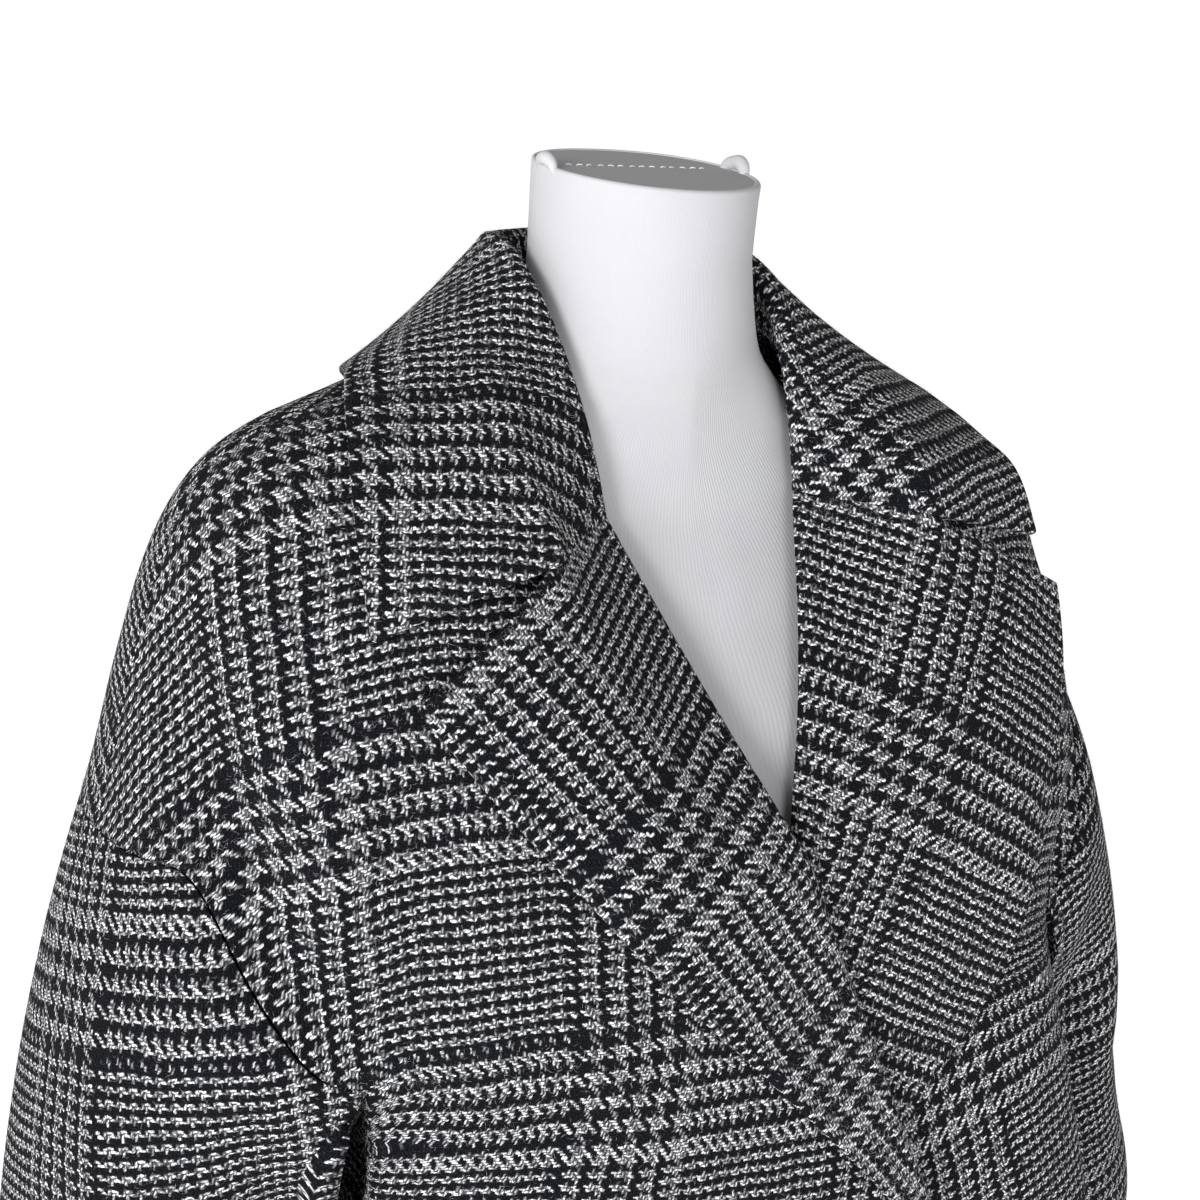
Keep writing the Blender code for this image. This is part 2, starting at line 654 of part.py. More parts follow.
def lapel_frame(side, drop):
    """The roll point at a drop, with the ways down the roll, out along the lapel and off it."""
    roll = roll_point(side, drop)
    tangent = unit(roll_point(side, drop - 0.01) - roll)
    normal = unit(np.cross(tangent, panel_step(side, roll, 0.01)))
    if normal[1] > 0.0:
        normal = -normal
    out = unit(np.cross(normal, tangent))
    if out[0] * side < 0.0:
        out = -out
    return roll, -tangent, out, normal


def lapel_path(side, along):
    """A dense row of a lapel over the front: round the roll from inside, then out to the edge."""
    drop = BREAK_DROP + (GORGE_DROP - BREAK_DROP) * along
    roll, _, out, normal = lapel_frame(side, drop)
    table = LAPEL_EDGE[side]
    edge_x, edge_drop, lift = [float(column(table, LAPEL_COLUMNS, name, along))
                               for name in ("own_x", "drop", "lift")]
    centre = roll + out * ROLL
    inner = []
    for turn in np.linspace(190.0, 95.0, 7):
        arc = math.radians(turn)
        inner.append(centre + ROLL * (out * math.cos(arc) + normal * math.sin(arc)))
    start_x = side * inner[-1][0]
    start_drop = NECK_POINT - inner[-1][2]
    start_lift = float(front_y(side, start_x, start_drop)) - inner[-1][1]

    def spread(share):
        own_x = start_x + (edge_x - start_x) * share
        row_drop = start_drop + (edge_drop - start_drop) * share
        row_lift = start_lift + (lift - start_lift) * float(ramp(0.0, 1.0, share))
        swell = LAPEL_SWELL * math.sin(math.pi * share) * float(ramp(0.3, 0.9, along))
        return point(side, own_x, float(front_y(side, own_x, row_drop)) - row_lift - swell, row_drop)

    inner += [spread(share) for share in np.linspace(0.0, NOTCH_SHARE, 9)[1:]]
    outer = [spread(share) for share in np.linspace(NOTCH_SHARE, 1.0, 17)]
    return np.array(inner), np.array(outer)


def gorge_path(side):
    """The lapel's top row: along the collar's end to the notch, then free out to the point."""
    down = lapel_frame(side, GORGE_DROP)[1] * GORGE_GAP
    collar_inner, _ = collar_path(side, 1.0)
    inner = collar_inner[4:] + down
    tip = lapel_path(side, 1.0)[1][-1]
    shares = np.linspace(0.0, 1.0, 17)[:, None]
    swell = np.sin(math.pi * shares) * np.array([0.0, -GORGE_SWELL, 0.0])
    return inner, inner[-1] + (tip - inner[-1]) * shares + swell


def lapel_row(side, along, across):
    """One row of a lapel; towards the top it turns from the front's slope to the gorge seam."""
    row = join(*lapel_path(side, along), across)
    top = join(*gorge_path(side), across)
    return row + (top - row) * float(ramp(0.70, 1.0, along))


def panel_step(side, start, step):
    """The way from a point of the front's edge to one a step further out on the front, level."""
    own_x = side * start[0]
    drop = NECK_POINT - start[2]
    change = front_y(side, own_x + step, drop) - front_y(side, own_x, drop)
    return np.array([side * step, float(change), 0.0])


def roll_point(side, drop):
    """A point of the roll line."""
    own_x, depth = inner_edge(drop)
    y = float(front_y(side, own_x, drop))
    return point(side, own_x, y, drop)


def lapel_grid(side, along, across):
    """A lapel, from the break up to the gorge seam and its point."""
    return np.array([lapel_row(side, share, across) for share in np.linspace(0.0, 1.0, along)])


# The dress form

def form_ring(drop, count):
    """A ring of the torso or neck, level but for the lower left shoulder."""
    half, front, back, front_fullness = [float(column(FORM, FORM_COLUMNS, name, drop))
                                         for name in FORM_COLUMNS[1:]]
    angles = np.linspace(0.0, 2.0 * math.pi, count, endpoint=False)
    s, c = np.sin(angles), np.cos(angles)
    ahead = c > 0.0
    fullness = np.where(ahead, front_fullness, BACK_FULLNESS)
    x = half * np.sign(s) * np.abs(s) ** (2.0 / fullness)
    y = np.where(ahead, -front, back) * np.abs(c) ** (2.0 / fullness)
    sag = left_sag(np.maximum(x, 0.0), drop) * float(ramp(-0.020, 0.010, drop))
    return np.stack([x, y, NECK_POINT - drop - sag], axis=-1)


def form_rings(count, down_rows):
    """Rings from the slanted neck cap down to the underside of the hips."""
    top = FORM[0][0]
    neck = form_ring(top, count)
    rings = []
    for share in np.linspace(1.0, 0.0, 5)[:-1]:
        rise = (NECK_TOP + top) * share
        ring = neck.copy()
        ring[:, 2] += rise
        ring[:, 1] -= NECK_LEAN * rise
        middle = ring.mean(axis=0)
        slant = share ** 2
        ring[:, 2] -= slant * (CAP_SLANT[0] * (ring[:, 0] - middle[0])
                               - CAP_SLANT[1] * (ring[:, 1] - middle[1]))
        rings.append(ring)
    for share in np.linspace(0.0, 1.0, down_rows):
        rings.append(form_ring(top + (FORM[-1][0] - top) * share ** 1.5, count))
    return rings


# Making objects

def material(name, colour, roughness, metallic=0.0):
    made = bpy.data.materials.new(name)
    made.use_nodes = True
    shader = made.node_tree.nodes["Principled BSDF"]
    shader.inputs["Base Color"].default_value = (*colour, 1.0)
    shader.inputs["Roughness"].default_value = roughness
    shader.inputs["Metallic"].default_value = metallic
    return made


def add_object(name, mesh, collection, made, parent):
    mesh.materials.append(made)
    item = bpy.data.objects.new(name, mesh)
    collection.objects.link(item)
    item.parent = parent
    return item


def loft(name, grid, collection, made, parent, closed=False, flip=False, caps=False):
    """A smooth surface through rows of points; closed joins each row's ends, caps fill the ends."""
    rows, columns, _ = grid.shape
    mesh = bmesh.new()
    verts = [[mesh.verts.new(grid[r, c]) for c in range(columns)] for r in range(rows)]
    span = columns if closed else columns - 1
    for r in range(rows - 1):
        for c in range(span):
            n = (c + 1) % columns
            ring = [verts[r][c], verts[r][n], verts[r + 1][n], verts[r + 1][c]]
            mesh.faces.new(ring[::-1] if flip else ring)
    if caps:
        mesh.faces.new(verts[0] if flip else verts[0][::-1])
        mesh.faces.new(verts[-1][::-1] if flip else verts[-1])
    data = bpy.data.meshes.new(name)
    mesh.to_mesh(data)
    mesh.free()
    data.shade_smooth()
    return add_object(name, data, collection, made, parent)


def thicken(item, thickness):
    """Give a cloth surface its wall, inwards from the outside."""
    wall = item.modifiers.new("wall", "SOLIDIFY")
    wall.thickness = thickness
    wall.offset = -1.0
    wall.use_rim = True


def cylinder(name, radius, low, high, segments, collection, made, parent):
    """An upright cylinder on the pole's line, between two heights."""
    mesh = bmesh.new()
    bmesh.ops.create_cone(mesh, cap_ends=True, segments=segments, radius1=radius, radius2=radius,
                          depth=high - low)
    for face in mesh.faces:
        face.smooth = len(face.verts) == 4
    data = bpy.data.meshes.new(name)
    mesh.to_mesh(data)
    mesh.free()
    item = add_object(name, data, collection, made, parent)
    item.location.z = (low + high) / 2.0
    return item


def front_place(own_x, drop):
    """A point of the right front's surface below the break, and the way straight off it."""
    def surface(across, down):
        width = float(column(BODY, BODY_COLUMNS, "half_width", down))
        return body_point(RIGHT, share_to_angle(across / width, BODY_FULLNESS), down)

    place = surface(own_x, drop)
    normal = unit(np.cross(surface(own_x + 0.01, drop) - place, surface(own_x, drop + 0.01) - place))
    return place, normal if normal[1] < 0.0 else -normal


def make_button(name, own_x, drop, collection, cutters, made, parent):
    """A sewn-through button with a rim and four holes, lying on the right front."""
    place, facing = front_place(own_x, drop)
    mesh = bmesh.new()
    radius_at, height_at = [BUTTON_COLUMNS.index(name) for name in ("radius", "height")]
    profile = [mesh.verts.new((row[radius_at], 0.0, row[height_at])) for row in BUTTON]
    for i in range(len(profile) - 1):
        mesh.edges.new((profile[i], profile[i + 1]))
    data = bpy.data.meshes.new(name)
    mesh.to_mesh(data)
    mesh.free()
    button = add_object(name, data, collection, made, parent)
    spin = button.modifiers.new("turned", "SCREW")
    spin.steps = BUTTON_STEPS
    spin.render_steps = BUTTON_STEPS
    spin.use_merge_vertices = True
    spin.merge_threshold = 0.0001
    spin.use_smooth_shade = True
    button.location = place + facing * BUTTON_STAND_OFF
    button.rotation_mode = "QUATERNION"
    button.rotation_quaternion = Vector(facing).to_track_quat("Z", "Y")

    mesh = bmesh.new()
    for x in (-0.5, 0.5):
        for y in (-0.5, 0.5):
            at = Matrix.Translation((x * HOLE_SPACING, y * HOLE_SPACING, 0.0))
            bmesh.ops.create_cone(mesh, cap_ends=True, segments=8, radius1=HOLE_RADIUS,
                                  radius2=HOLE_RADIUS, depth=DRILL_LENGTH, matrix=at)
    data = bpy.data.meshes.new(name + "_holes")
    mesh.to_mesh(data)
    mesh.free()
    drill = add_object(name + "_holes", data, cutters, made, button)
    drill.hide_render = True
    drill.display_type = "WIRE"
    holes = button.modifiers.new("holes", "BOOLEAN")
    holes.operation = "DIFFERENCE"
    holes.solver = "EXACT"
    holes.object = drill


def clear_scene():
    for item in list(bpy.data.objects):
        bpy.data.objects.remove(item, do_unlink=True)


def build_coat(collection, cutters, parent):
    wool = material("wool_check", WOOL, 0.95)
    for side, name in ((RIGHT, "right"), (LEFT, "left")):
        panel = loft("front_" + name, front_grid(side, FRONT_COLUMNS), collection, wool, parent,
                     flip=side == RIGHT)
        thicken(panel, CLOTH)
        sleeve = loft("sleeve_" + name, sleeve_grid(side), collection, wool, parent,
                      closed=True, flip=side == RIGHT)
        thicken(sleeve, CLOTH)
        lapel = loft("lapel_" + name, lapel_grid(side, *LAPEL_MESH), collection, wool, parent,
                     flip=side == RIGHT)
        thicken(lapel, FACED)
    back = loft("back", back_grid(BACK_COLUMNS), collection, wool, parent, flip=True)
    thicken(back, CLOTH)
    collar = loft("collar", collar_grid(*COLLAR_MESH), collection, wool, parent, flip=True)
    thicken(collar, FACED)
    horn = material("black_button", BUTTON_BLACK, 0.4)
    number = 0
    for drop in BUTTON_DROPS:
        for own_x in (BUTTON_ACROSS, -BUTTON_ACROSS):
            number += 1
            make_button("button_%d" % number, own_x, drop, collection, cutters, horn, parent)


def build_form(collection, parent):
    jersey = material("white_jersey", JERSEY, 0.85)
    rings = np.array(form_rings(*FORM_MESH))
    loft("dress_form", rings, collection, jersey, parent, closed=True, flip=True, caps=True)
    steel = material("white_steel", STEEL_WHITE, 0.35, 0.2)
    underside = NECK_POINT - FORM[-1][0]
    cylinder("stand_pole", POLE_RADIUS, FOOT_THICKNESS + SEAM_GAP, underside - SEAM_GAP, 20,
             collection, steel, parent)
    cylinder("stand_base", FOOT_RADIUS, 0.0, FOOT_THICKNESS, 48, collection, steel, parent)


def build():
    clear_scene()
    collection = bpy.data.collections.new("wool_coat")
    cutters = bpy.data.collections.new("cutters")
    bpy.context.scene.collection.children.link(collection)
    bpy.context.scene.collection.children.link(cutters)
    parent = bpy.data.objects.new("coat_on_form", None)
    collection.objects.link(parent)
    build_coat(collection, cutters, parent)
    build_form(collection, parent)


build()
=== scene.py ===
"""The looks of the wool coat on its dress form, in metres in the row's frame.

Each cloth piece of the coat is made again on the surface that its solid has, with a finer grid, a
rounded edge and its creases, and carries flat cloth coordinates, in metres, for the woven check.
Front is -Y and the wearer's right is -X. A drop is metres below the neck point, and own_x grows
from the centre front out to the wearer's own arm.
"""

import math

import bmesh
import bpy
import numpy as np
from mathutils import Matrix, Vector


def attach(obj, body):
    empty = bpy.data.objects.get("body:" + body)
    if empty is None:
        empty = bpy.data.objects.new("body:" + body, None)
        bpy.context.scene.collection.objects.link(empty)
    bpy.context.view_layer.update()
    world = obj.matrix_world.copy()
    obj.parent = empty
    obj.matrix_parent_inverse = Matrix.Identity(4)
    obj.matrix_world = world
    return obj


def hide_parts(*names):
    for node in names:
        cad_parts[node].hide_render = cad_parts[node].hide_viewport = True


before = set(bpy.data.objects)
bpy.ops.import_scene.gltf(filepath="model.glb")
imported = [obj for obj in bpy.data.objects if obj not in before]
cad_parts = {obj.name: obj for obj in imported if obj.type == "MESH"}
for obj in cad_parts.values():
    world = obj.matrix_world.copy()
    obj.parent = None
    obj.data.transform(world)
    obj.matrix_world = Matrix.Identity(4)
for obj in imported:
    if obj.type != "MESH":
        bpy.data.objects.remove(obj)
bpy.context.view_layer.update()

# Driving dimensions, the same as the construction's
NECK_POINT = 1.435        # height of the neck point above the floor
COAT_LENGTH = 0.98        # neck point to hem
UNDERARM = 0.378          # drop of the underarm point, where body and sleeve part
LAP = 0.075               # how far each front reaches past the centre front
BREAK_DROP = 0.442        # drop where the lapels start to turn back
SEAM_TOP = 0.222          # drop of the dropped armhole seam on the outside of the arm
SEAM_LOW = 0.320          # drop where the armhole seam turns under the arm
SEAM_ANGLE = 36.0         # how far round from the centre front it is by then, in degrees
CLOTH = 0.0030            # body and sleeve cloth
FACED = 0.0046            # collar and lapels: two layers
SEAM_GAP = 0.0003         # between neighbouring pieces
GORGE_GAP = 0.0008        # between collar and lapel, along the lapel's roll
ROLL = 0.0064             # outer radius of the collar's and lapels' fold
TUCK = 0.0110             # a front's own edge lies this far inside that fold
SINK = 0.0015             # and this far back from it
GORGE_SINK = 0.0030       # and this much further near the gorge
NECK_TUCK = 0.0035        # the front's edge lies this far outside the neck seam's line
CLOTH_ROUND = CLOTH / 2.0 # a cut edge ends in a half round of this radius
FACED_ROUND = FACED / 2.0
LAP_RISE = 0.0145         # the right front stands off the left by this, its lapel lying between
FULLNESS = 2.5            # squareness of the level sections, 2 is an ellipse
MID_Y = 0.012             # the side line lies a little behind the pole
SHOULDER_SAG = 0.032      # the left shoulder sits this much lower
ARM_SAG = 0.004           # and the left arm this much
LEFT_ARM_IN = 0.020       # and the left upper arm hangs this much closer in
LAP_DROPS = (0.15, 0.26)  # drops over which one front comes to stand off the other
LAP_REACH = (0.09, 0.17)  # own_x over which they come together again
ARMPIT_DROPS = (0.21, 0.31)
ARMPIT_FRONT = (0.020, 0.195, 0.032)     # depth, own_x and half width of the hollow at the armpit
ARMPIT_BACK = (0.018, 0.200, 0.034)
HEM_WAVE = 0.020          # height of the long folds at the hem, as a share of the distance out
RIGHT, LEFT = -1, 1

# Level sections of the shoulders, upper arms included
SHOULDER_COLUMNS = ("drop", "half_width", "front", "back")
SHOULDER = (
    (-0.010, 0.040, 0.020, 0.060),
    (0.000, 0.068, 0.022, 0.068),
    (0.020, 0.116, 0.042, 0.066),
    (0.036, 0.162, 0.058, 0.071),
    (0.046, 0.194, 0.066, 0.076),
    (0.060, 0.218, 0.074, 0.086),
    (0.084, 0.237, 0.088, 0.104),
    (0.116, 0.251, 0.106, 0.124),
    (0.156, 0.264, 0.122, 0.138),
    (0.205, 0.278, 0.135, 0.148),
    (0.240, 0.290, 0.141, 0.152),
    (0.300, 0.307, 0.147, 0.156),
    (0.378, 0.324, 0.152, 0.160),
    (0.450, 0.338, 0.159, 0.165),
)

# Level sections of the body below the arms; hollow is how far the sleeve presses its side in
BODY_COLUMNS = ("drop", "half_width", "front", "back", "hollow")
BODY = (
    (0.300, 0.232, 0.147, 0.156, 0.062),
    (0.378, 0.257, 0.152, 0.160, 0.089),
    (0.450, 0.274, 0.159, 0.165, 0.114),
    (0.520, 0.284, 0.165, 0.170, 0.115),
    (0.620, 0.287, 0.169, 0.175, 0.094),
    (0.720, 0.283, 0.170, 0.178, 0.064),
    (0.800, 0.280, 0.168, 0.178, 0.028),
    (0.900, 0.272, 0.163, 0.174, 0.008),
    (0.980, 0.262, 0.157, 0.168, 0.000),
)
BODY_FULLNESS = 3.0
HOLLOW_REACH = 0.104      # half the depth of that hollow, front to back

# The inner edge of each front: the neck seam down to the gorge, then the lapel's roll line
ROLL_COLUMNS = ("drop", "own_x", "depth")
ROLL_LINE = (
    (0.000, 0.074, 0.004),
    (0.030, 0.077, 0.037),
    (0.060, 0.070, 0.051),
    (0.091, 0.054, 0.060),
    (0.165, 0.029, 0.103),
    (0.241, 0.000, 0.145),
)
GORGE_DROP = ROLL_LINE[3][0]
SETTLE = 0.080            # distance over which the front eases from that edge onto its section

# The lapels' outer edges, from the break up to the point, with how far they stand off the front
LAPEL_COLUMNS = ("along", "own_x", "drop", "lift")
LAPEL_EDGE = {
    RIGHT: (
        (0.00, -0.062, 0.446, 0.009),
        (0.16, -0.026, 0.402, 0.009),
        (0.38, 0.031, 0.337, 0.010),
        (0.58, 0.079, 0.284, 0.011),
        (0.74, 0.118, 0.234, 0.012),
        (0.88, 0.151, 0.190, 0.014),
        (1.00, 0.177, 0.149, 0.017),
    ),
    LEFT: (
        (0.00, -0.062, 0.446, 0.0080),
        (0.16, 0.016, 0.418, 0.0080),
        (0.38, 0.088, 0.377, 0.0080),
        (0.58, 0.128, 0.335, 0.009),
        (0.74, 0.160, 0.282, 0.012),
        (0.88, 0.189, 0.218, 0.015),
        (1.00, 0.193, 0.148, 0.019),
    ),
}
NOTCH = (0.102, 0.101, 0.097)      # own_x, depth and drop of the notch between lapel and collar
NOTCH_SHARE = 0.39                 # its share of the way from the fold to the collar's point

# The collar, from the centre back (along 0) to its front end (along 1)
COLLAR_COLUMNS = ("along", "own_x", "y", "drop")
NECK_SEAM = (
    (0.00, 0.000, 0.070, 0.000),
    (0.25, 0.045, 0.056, 0.000),
    (0.45, 0.067, 0.022, 0.000),
    (0.60, 0.074, -0.004, 0.004),
    (0.75, 0.077, -0.035, 0.027),
    (0.88, 0.071, -0.050, 0.058),
    (1.00, 0.062, -0.056, 0.092),
)
FOLD_LINE = (
    (0.00, 0.000, 0.076, -0.030),
    (0.25, 0.045, 0.060, -0.031),
    (0.45, 0.064, 0.024, -0.033),
    (0.60, 0.066, -0.011, -0.018),
    (0.75, 0.061, -0.036, 0.018),
    (0.88, 0.057, -0.051, 0.056),
    (1.00, 0.054, -0.060, 0.090),
)
COLLAR_EDGE = (
    (0.00, 0.000, 0.106, 0.066),
    (0.25, 0.083, 0.102, 0.058),
    (0.45, 0.127, 0.074, 0.0365),
    (0.60, 0.153, 0.012, 0.022),
    (0.75, 0.173, -0.036, 0.040),
    (0.88, 0.184, -0.070, 0.082),
    (1.00, 0.188, -0.090, 0.124),
)

COLLAR_SWELL = (0.0, 0.010, 0.004)       # how far the fall bows out at the back
LAPEL_SWELL = 0.006       # how far a lapel bows off the front
GORGE_SWELL = 0.004       # and its free top edge
COLLAR_LIFT = 0.006       # the collar's left edge stands this much higher off the lower shoulder

# The sleeves below the armhole seam
SLEEVE_COLUMNS = ("drop", "own_x", "y", "half_width", "half_depth")
SLEEVE = (
    (0.460, 0.260, 0.013, 0.082, 0.096),
    (0.560, 0.274, 0.020, 0.080, 0.091),
    (0.650, 0.290, 0.028, 0.074, 0.084),
    (0.720, 0.304, 0.032, 0.070, 0.080),
)
SLEEVE_FULLNESS = 2.5
LEFT_SLEEVE_IN = 0.011    # the left sleeve hangs this much closer in at its top, and is slimmer

# The dress form: level sections from the neck down to the underside of the hips
FORM_COLUMNS = ("drop", "half_width", "front", "back", "front_fullness")
FORM = (
    (-0.020, 0.0550, 0.055, 0.050, 2.0),
    (0.000, 0.0570, 0.055, 0.052, 2.0),
    (0.020, 0.0640, 0.055, 0.058, 1.8),
    (0.040, 0.0980, 0.052, 0.066, 1.5),
    (0.062, 0.1460, 0.050, 0.080, 1.4),
    (0.090, 0.1680, 0.053, 0.094, 1.6),
    (0.140, 0.1740, 0.075, 0.108, 2.0),
    (0.200, 0.1700, 0.108, 0.114, 2.2),
    (0.250, 0.1600, 0.122, 0.112, 2.2),
    (0.320, 0.1430, 0.112, 0.104, 2.2),
    (0.400, 0.1280, 0.100, 0.094, 2.2),
    (0.480, 0.1420, 0.104, 0.104, 2.2),
    (0.560, 0.1620, 0.108, 0.122, 2.2),
    (0.640, 0.1700, 0.108, 0.130, 2.2),
    (0.710, 0.1660, 0.102, 0.124, 2.2),
)
BACK_FULLNESS = 2.2
NECK_TOP = 0.064          # centre of the form's neck cap above the neck point
NECK_LEAN = 0.14          # how far the neck leans forward for each metre up
CAP_SLANT = (0.06, 0.13)  # slope of the neck cap, down to the wearer's left and to the front


def column(rows, names, name, at):
    """The named column of a table at a place along its first column, on a smooth monotone curve."""
    data = np.array(rows, dtype=float)
    x = data[:, 0]
    y = data[:, names.index(name)]
    step = np.diff(x)
    slope = np.diff(y) / step
    tangent = np.empty_like(y)
    tangent[0] = slope[0]
    tangent[-1] = slope[-1]
    for i in range(1, len(y) - 1):
        if slope[i - 1] * slope[i] <= 0.0:
            tangent[i] = 0.0
        else:
            before = 2.0 * step[i] + step[i - 1]
            after = step[i] + 2.0 * step[i - 1]
            tangent[i] = (before + after) / (before / slope[i - 1] + after / slope[i])
    at = np.clip(np.asarray(at, dtype=float), x[0], x[-1])
    i = np.clip(np.searchsorted(x, at, side="right") - 1, 0, len(x) - 2)
    t = (at - x[i]) / step[i]
    return ((1.0 + 2.0 * t) * (1.0 - t) ** 2 * y[i] + t * (1.0 - t) ** 2 * step[i] * tangent[i]
            + t * t * (3.0 - 2.0 * t) * y[i + 1] + t * t * (t - 1.0) * step[i] * tangent[i + 1])


def ramp(start, end, value):
    """0 before start, 1 after end, easing between them."""
    t = np.clip((np.asarray(value, dtype=float) - start) / (end - start), 0.0, 1.0)
    return t * t * (3.0 - 2.0 * t)


def superellipse(share, fullness):
    """Depth left, from 1 to 0, at a share of the half width."""
    return (1.0 - np.clip(np.abs(share), 0.0, 1.0) ** fullness) ** (1.0 / fullness)


def angle_to_share(angle, fullness):
    """Share of the half width at an angle round from the centre front."""
    s = np.sin(np.radians(angle))
    return np.sign(s) * np.abs(s) ** (2.0 / fullness)


def share_to_angle(share, fullness):
    """Angle round from the centre front at a share of the half width."""
    s = min(abs(share), 1.0) ** (fullness / 2.0)
    return math.degrees(math.asin(math.copysign(s, share)))


def left_sag(own_x, drop):
    """How much lower the left side sits, most on the shoulder."""
    level_again = 0.112 + 0.110 * ramp(0.185, 0.230, own_x)
    shoulder = SHOULDER_SAG * ramp(0.03, 0.13, own_x) * (1.0 - ramp(0.035, level_again, drop))
    return shoulder + ARM_SAG * ramp(0.06, 0.24, own_x) * ramp(0.10, 0.24, drop)


def point(side, own_x, y, drop):
    """World points from own_x, y and drop; the left side hangs lower towards its shoulder."""
    own_x, y, drop = np.broadcast_arrays(own_x, y, drop)
    sag = left_sag(own_x, drop) if side == LEFT else 0.0
    return np.stack([side * own_x, y, NECK_POINT - drop - sag], axis=-1)


# The coat's outer surface

def lap(side, own_x, drop):
    """How far the right front stands out, and the left one back, where one laps over the other."""
    near = ramp(*LAP_DROPS, drop) * (1.0 - ramp(*LAP_REACH, own_x))
    return -0.5 * side * LAP_RISE * near


def shoulder_width(side, drop):
    """Half width at the shoulders and upper arms; the left arm hangs closer in."""
    width = column(SHOULDER, SHOULDER_COLUMNS, "half_width", drop)
    return width - (LEFT_ARM_IN * ramp(0.05, 0.15, drop) if side == LEFT else 0.0)


def armpit(own_x, drop, depth, middle, half_width):
    """How far the cloth sinks in between chest or back and arm."""
    return depth * ramp(*ARMPIT_DROPS, drop) * np.exp(-((own_x - middle) / half_width) ** 2)


def shoulder_y(side, own_x, drop, front):
    """Y of the shoulder part at own_x: the front or back half of its level section."""
    share = own_x / shoulder_width(side, drop)
    round_part = superellipse(share, FULLNESS)
    if front:
        reach = column(SHOULDER, SHOULDER_COLUMNS, "front", drop) + MID_Y
        reach = reach - armpit(own_x, drop, *ARMPIT_FRONT)
        return MID_Y - reach * round_part - lap(side, own_x, drop)
    reach = column(SHOULDER, SHOULDER_COLUMNS, "back", drop) - MID_Y
    return MID_Y + (reach - armpit(own_x, drop, *ARMPIT_BACK)) * round_part


def inner_edge(drop):
    """own_x and depth of a front's inner edge at a drop; depth is None below the lapels' meeting."""
    if drop <= ROLL_LINE[-1][0]:
        return (float(column(ROLL_LINE, ROLL_COLUMNS, "own_x", drop)),
                float(column(ROLL_LINE, ROLL_COLUMNS, "depth", drop)))
    share = min((drop - ROLL_LINE[-1][0]) / (BREAK_DROP - ROLL_LINE[-1][0]), 1.0)
    return -LAP * share, None


def front_y(side, own_x, drop):
    """Y of a front's outer surface, eased onto its inner edge where that lies back from the section."""
    own_x, drop = np.broadcast_arrays(np.asarray(own_x, float), np.asarray(drop, float))
    low = ROLL_LINE[-1][0]
    edge_drop = np.minimum(drop, low)
    edge_x = column(ROLL_LINE, ROLL_COLUMNS, "own_x", edge_drop)
    edge_y = -column(ROLL_LINE, ROLL_COLUMNS, "depth", edge_drop) - lap(side, edge_x, edge_drop)
    pull = edge_y - shoulder_y(side, edge_x, edge_drop, True)
    pull = pull * (1.0 - ramp(low, low + 0.06, drop)) * (1.0 - ramp(0.0, SETTLE, own_x - edge_x))
    pull = pull * (1.0 - ramp(0.85, 1.0, own_x / shoulder_width(side, drop)))
    return shoulder_y(side, own_x, drop, True) + pull


def sleeve_in(side, drop):
    """How much closer to the body the left sleeve hangs at its top."""
    if side == RIGHT:
        return 0.0
    return LEFT_SLEEVE_IN * ramp(0.30, 0.40, drop) * (1.0 - ramp(0.46, 0.58, drop))


def body_point(side, angle, drop):
    """Points of the body below the arms at an angle round from the centre front."""
    front = np.abs(angle) <= 90.0
    share = angle_to_share(np.where(front, angle, 180.0 - angle), BODY_FULLNESS)
    own_x = column(BODY, BODY_COLUMNS, "half_width", drop) * share
    round_part = superellipse(share, BODY_FULLNESS)
    front_reach = column(BODY, BODY_COLUMNS, "front", drop) + MID_Y
    back_reach = column(BODY, BODY_COLUMNS, "back", drop) - MID_Y
    y = np.where(front, MID_Y - front_reach * round_part, MID_Y + back_reach * round_part)
    hollow = column(BODY, BODY_COLUMNS, "hollow", drop) + sleeve_in(side, drop)
    hollow = hollow * np.exp(-((y - MID_Y) / HOLLOW_REACH) ** 4)
    own_x = own_x - hollow * ramp(0.3, 0.9, own_x / 0.25)
    y = np.where(front, y - lap(side, own_x, drop), y)
    y = y * (1.0 + hem_wave(side, angle, drop))
    own_x = own_x * (1.0 + hem_wave(side, angle, drop))
    return point(side, own_x, y, drop)


def hem_wave(side, angle, drop):
    """The cloth hangs in a few long soft folds, deeper towards the hem."""
    turn = np.radians(angle)
    shape = 0.6 * np.cos(5.0 * turn + 0.8 * side) + 0.4 * np.cos(9.0 * turn - 1.1 * side)
    return HEM_WAVE * shape * ramp(0.50, 0.98, drop) * ramp(20.0, 60.0, np.abs(angle))


def armhole(share):
    """Angle and drop of the armhole seam: share 0 under the arm's front, 1 on top of the arm."""
    angle = SEAM_ANGLE + (90.0 - SEAM_ANGLE) * share
    drop = SEAM_TOP + (SEAM_LOW - SEAM_TOP) * ramp(0.35, 1.0, 1.0 - share)
    return angle, drop


def resample(path, count, trim_start=0.0, trim_end=0.0):
    """count points evenly along a path cut back by the trims."""
    run = np.concatenate([[0.0], np.cumsum(np.linalg.norm(np.diff(path, axis=0), axis=1))])
    places = np.linspace(trim_start, run[-1] - trim_end, count)
    return np.stack([np.interp(places, run, path[:, k]) for k in range(3)], axis=1)


# Rows across a panel: kinds of outer end, from the hem up

HEM_ROWS, UNDER_ROWS, ARM_ROWS, TOP_ROWS = 72, 14, 34, 42
SIDE_TO, UNDER_TO, ARM_TO = 0.380, 0.310, 0.150      # drops at the inner ends where these parts end


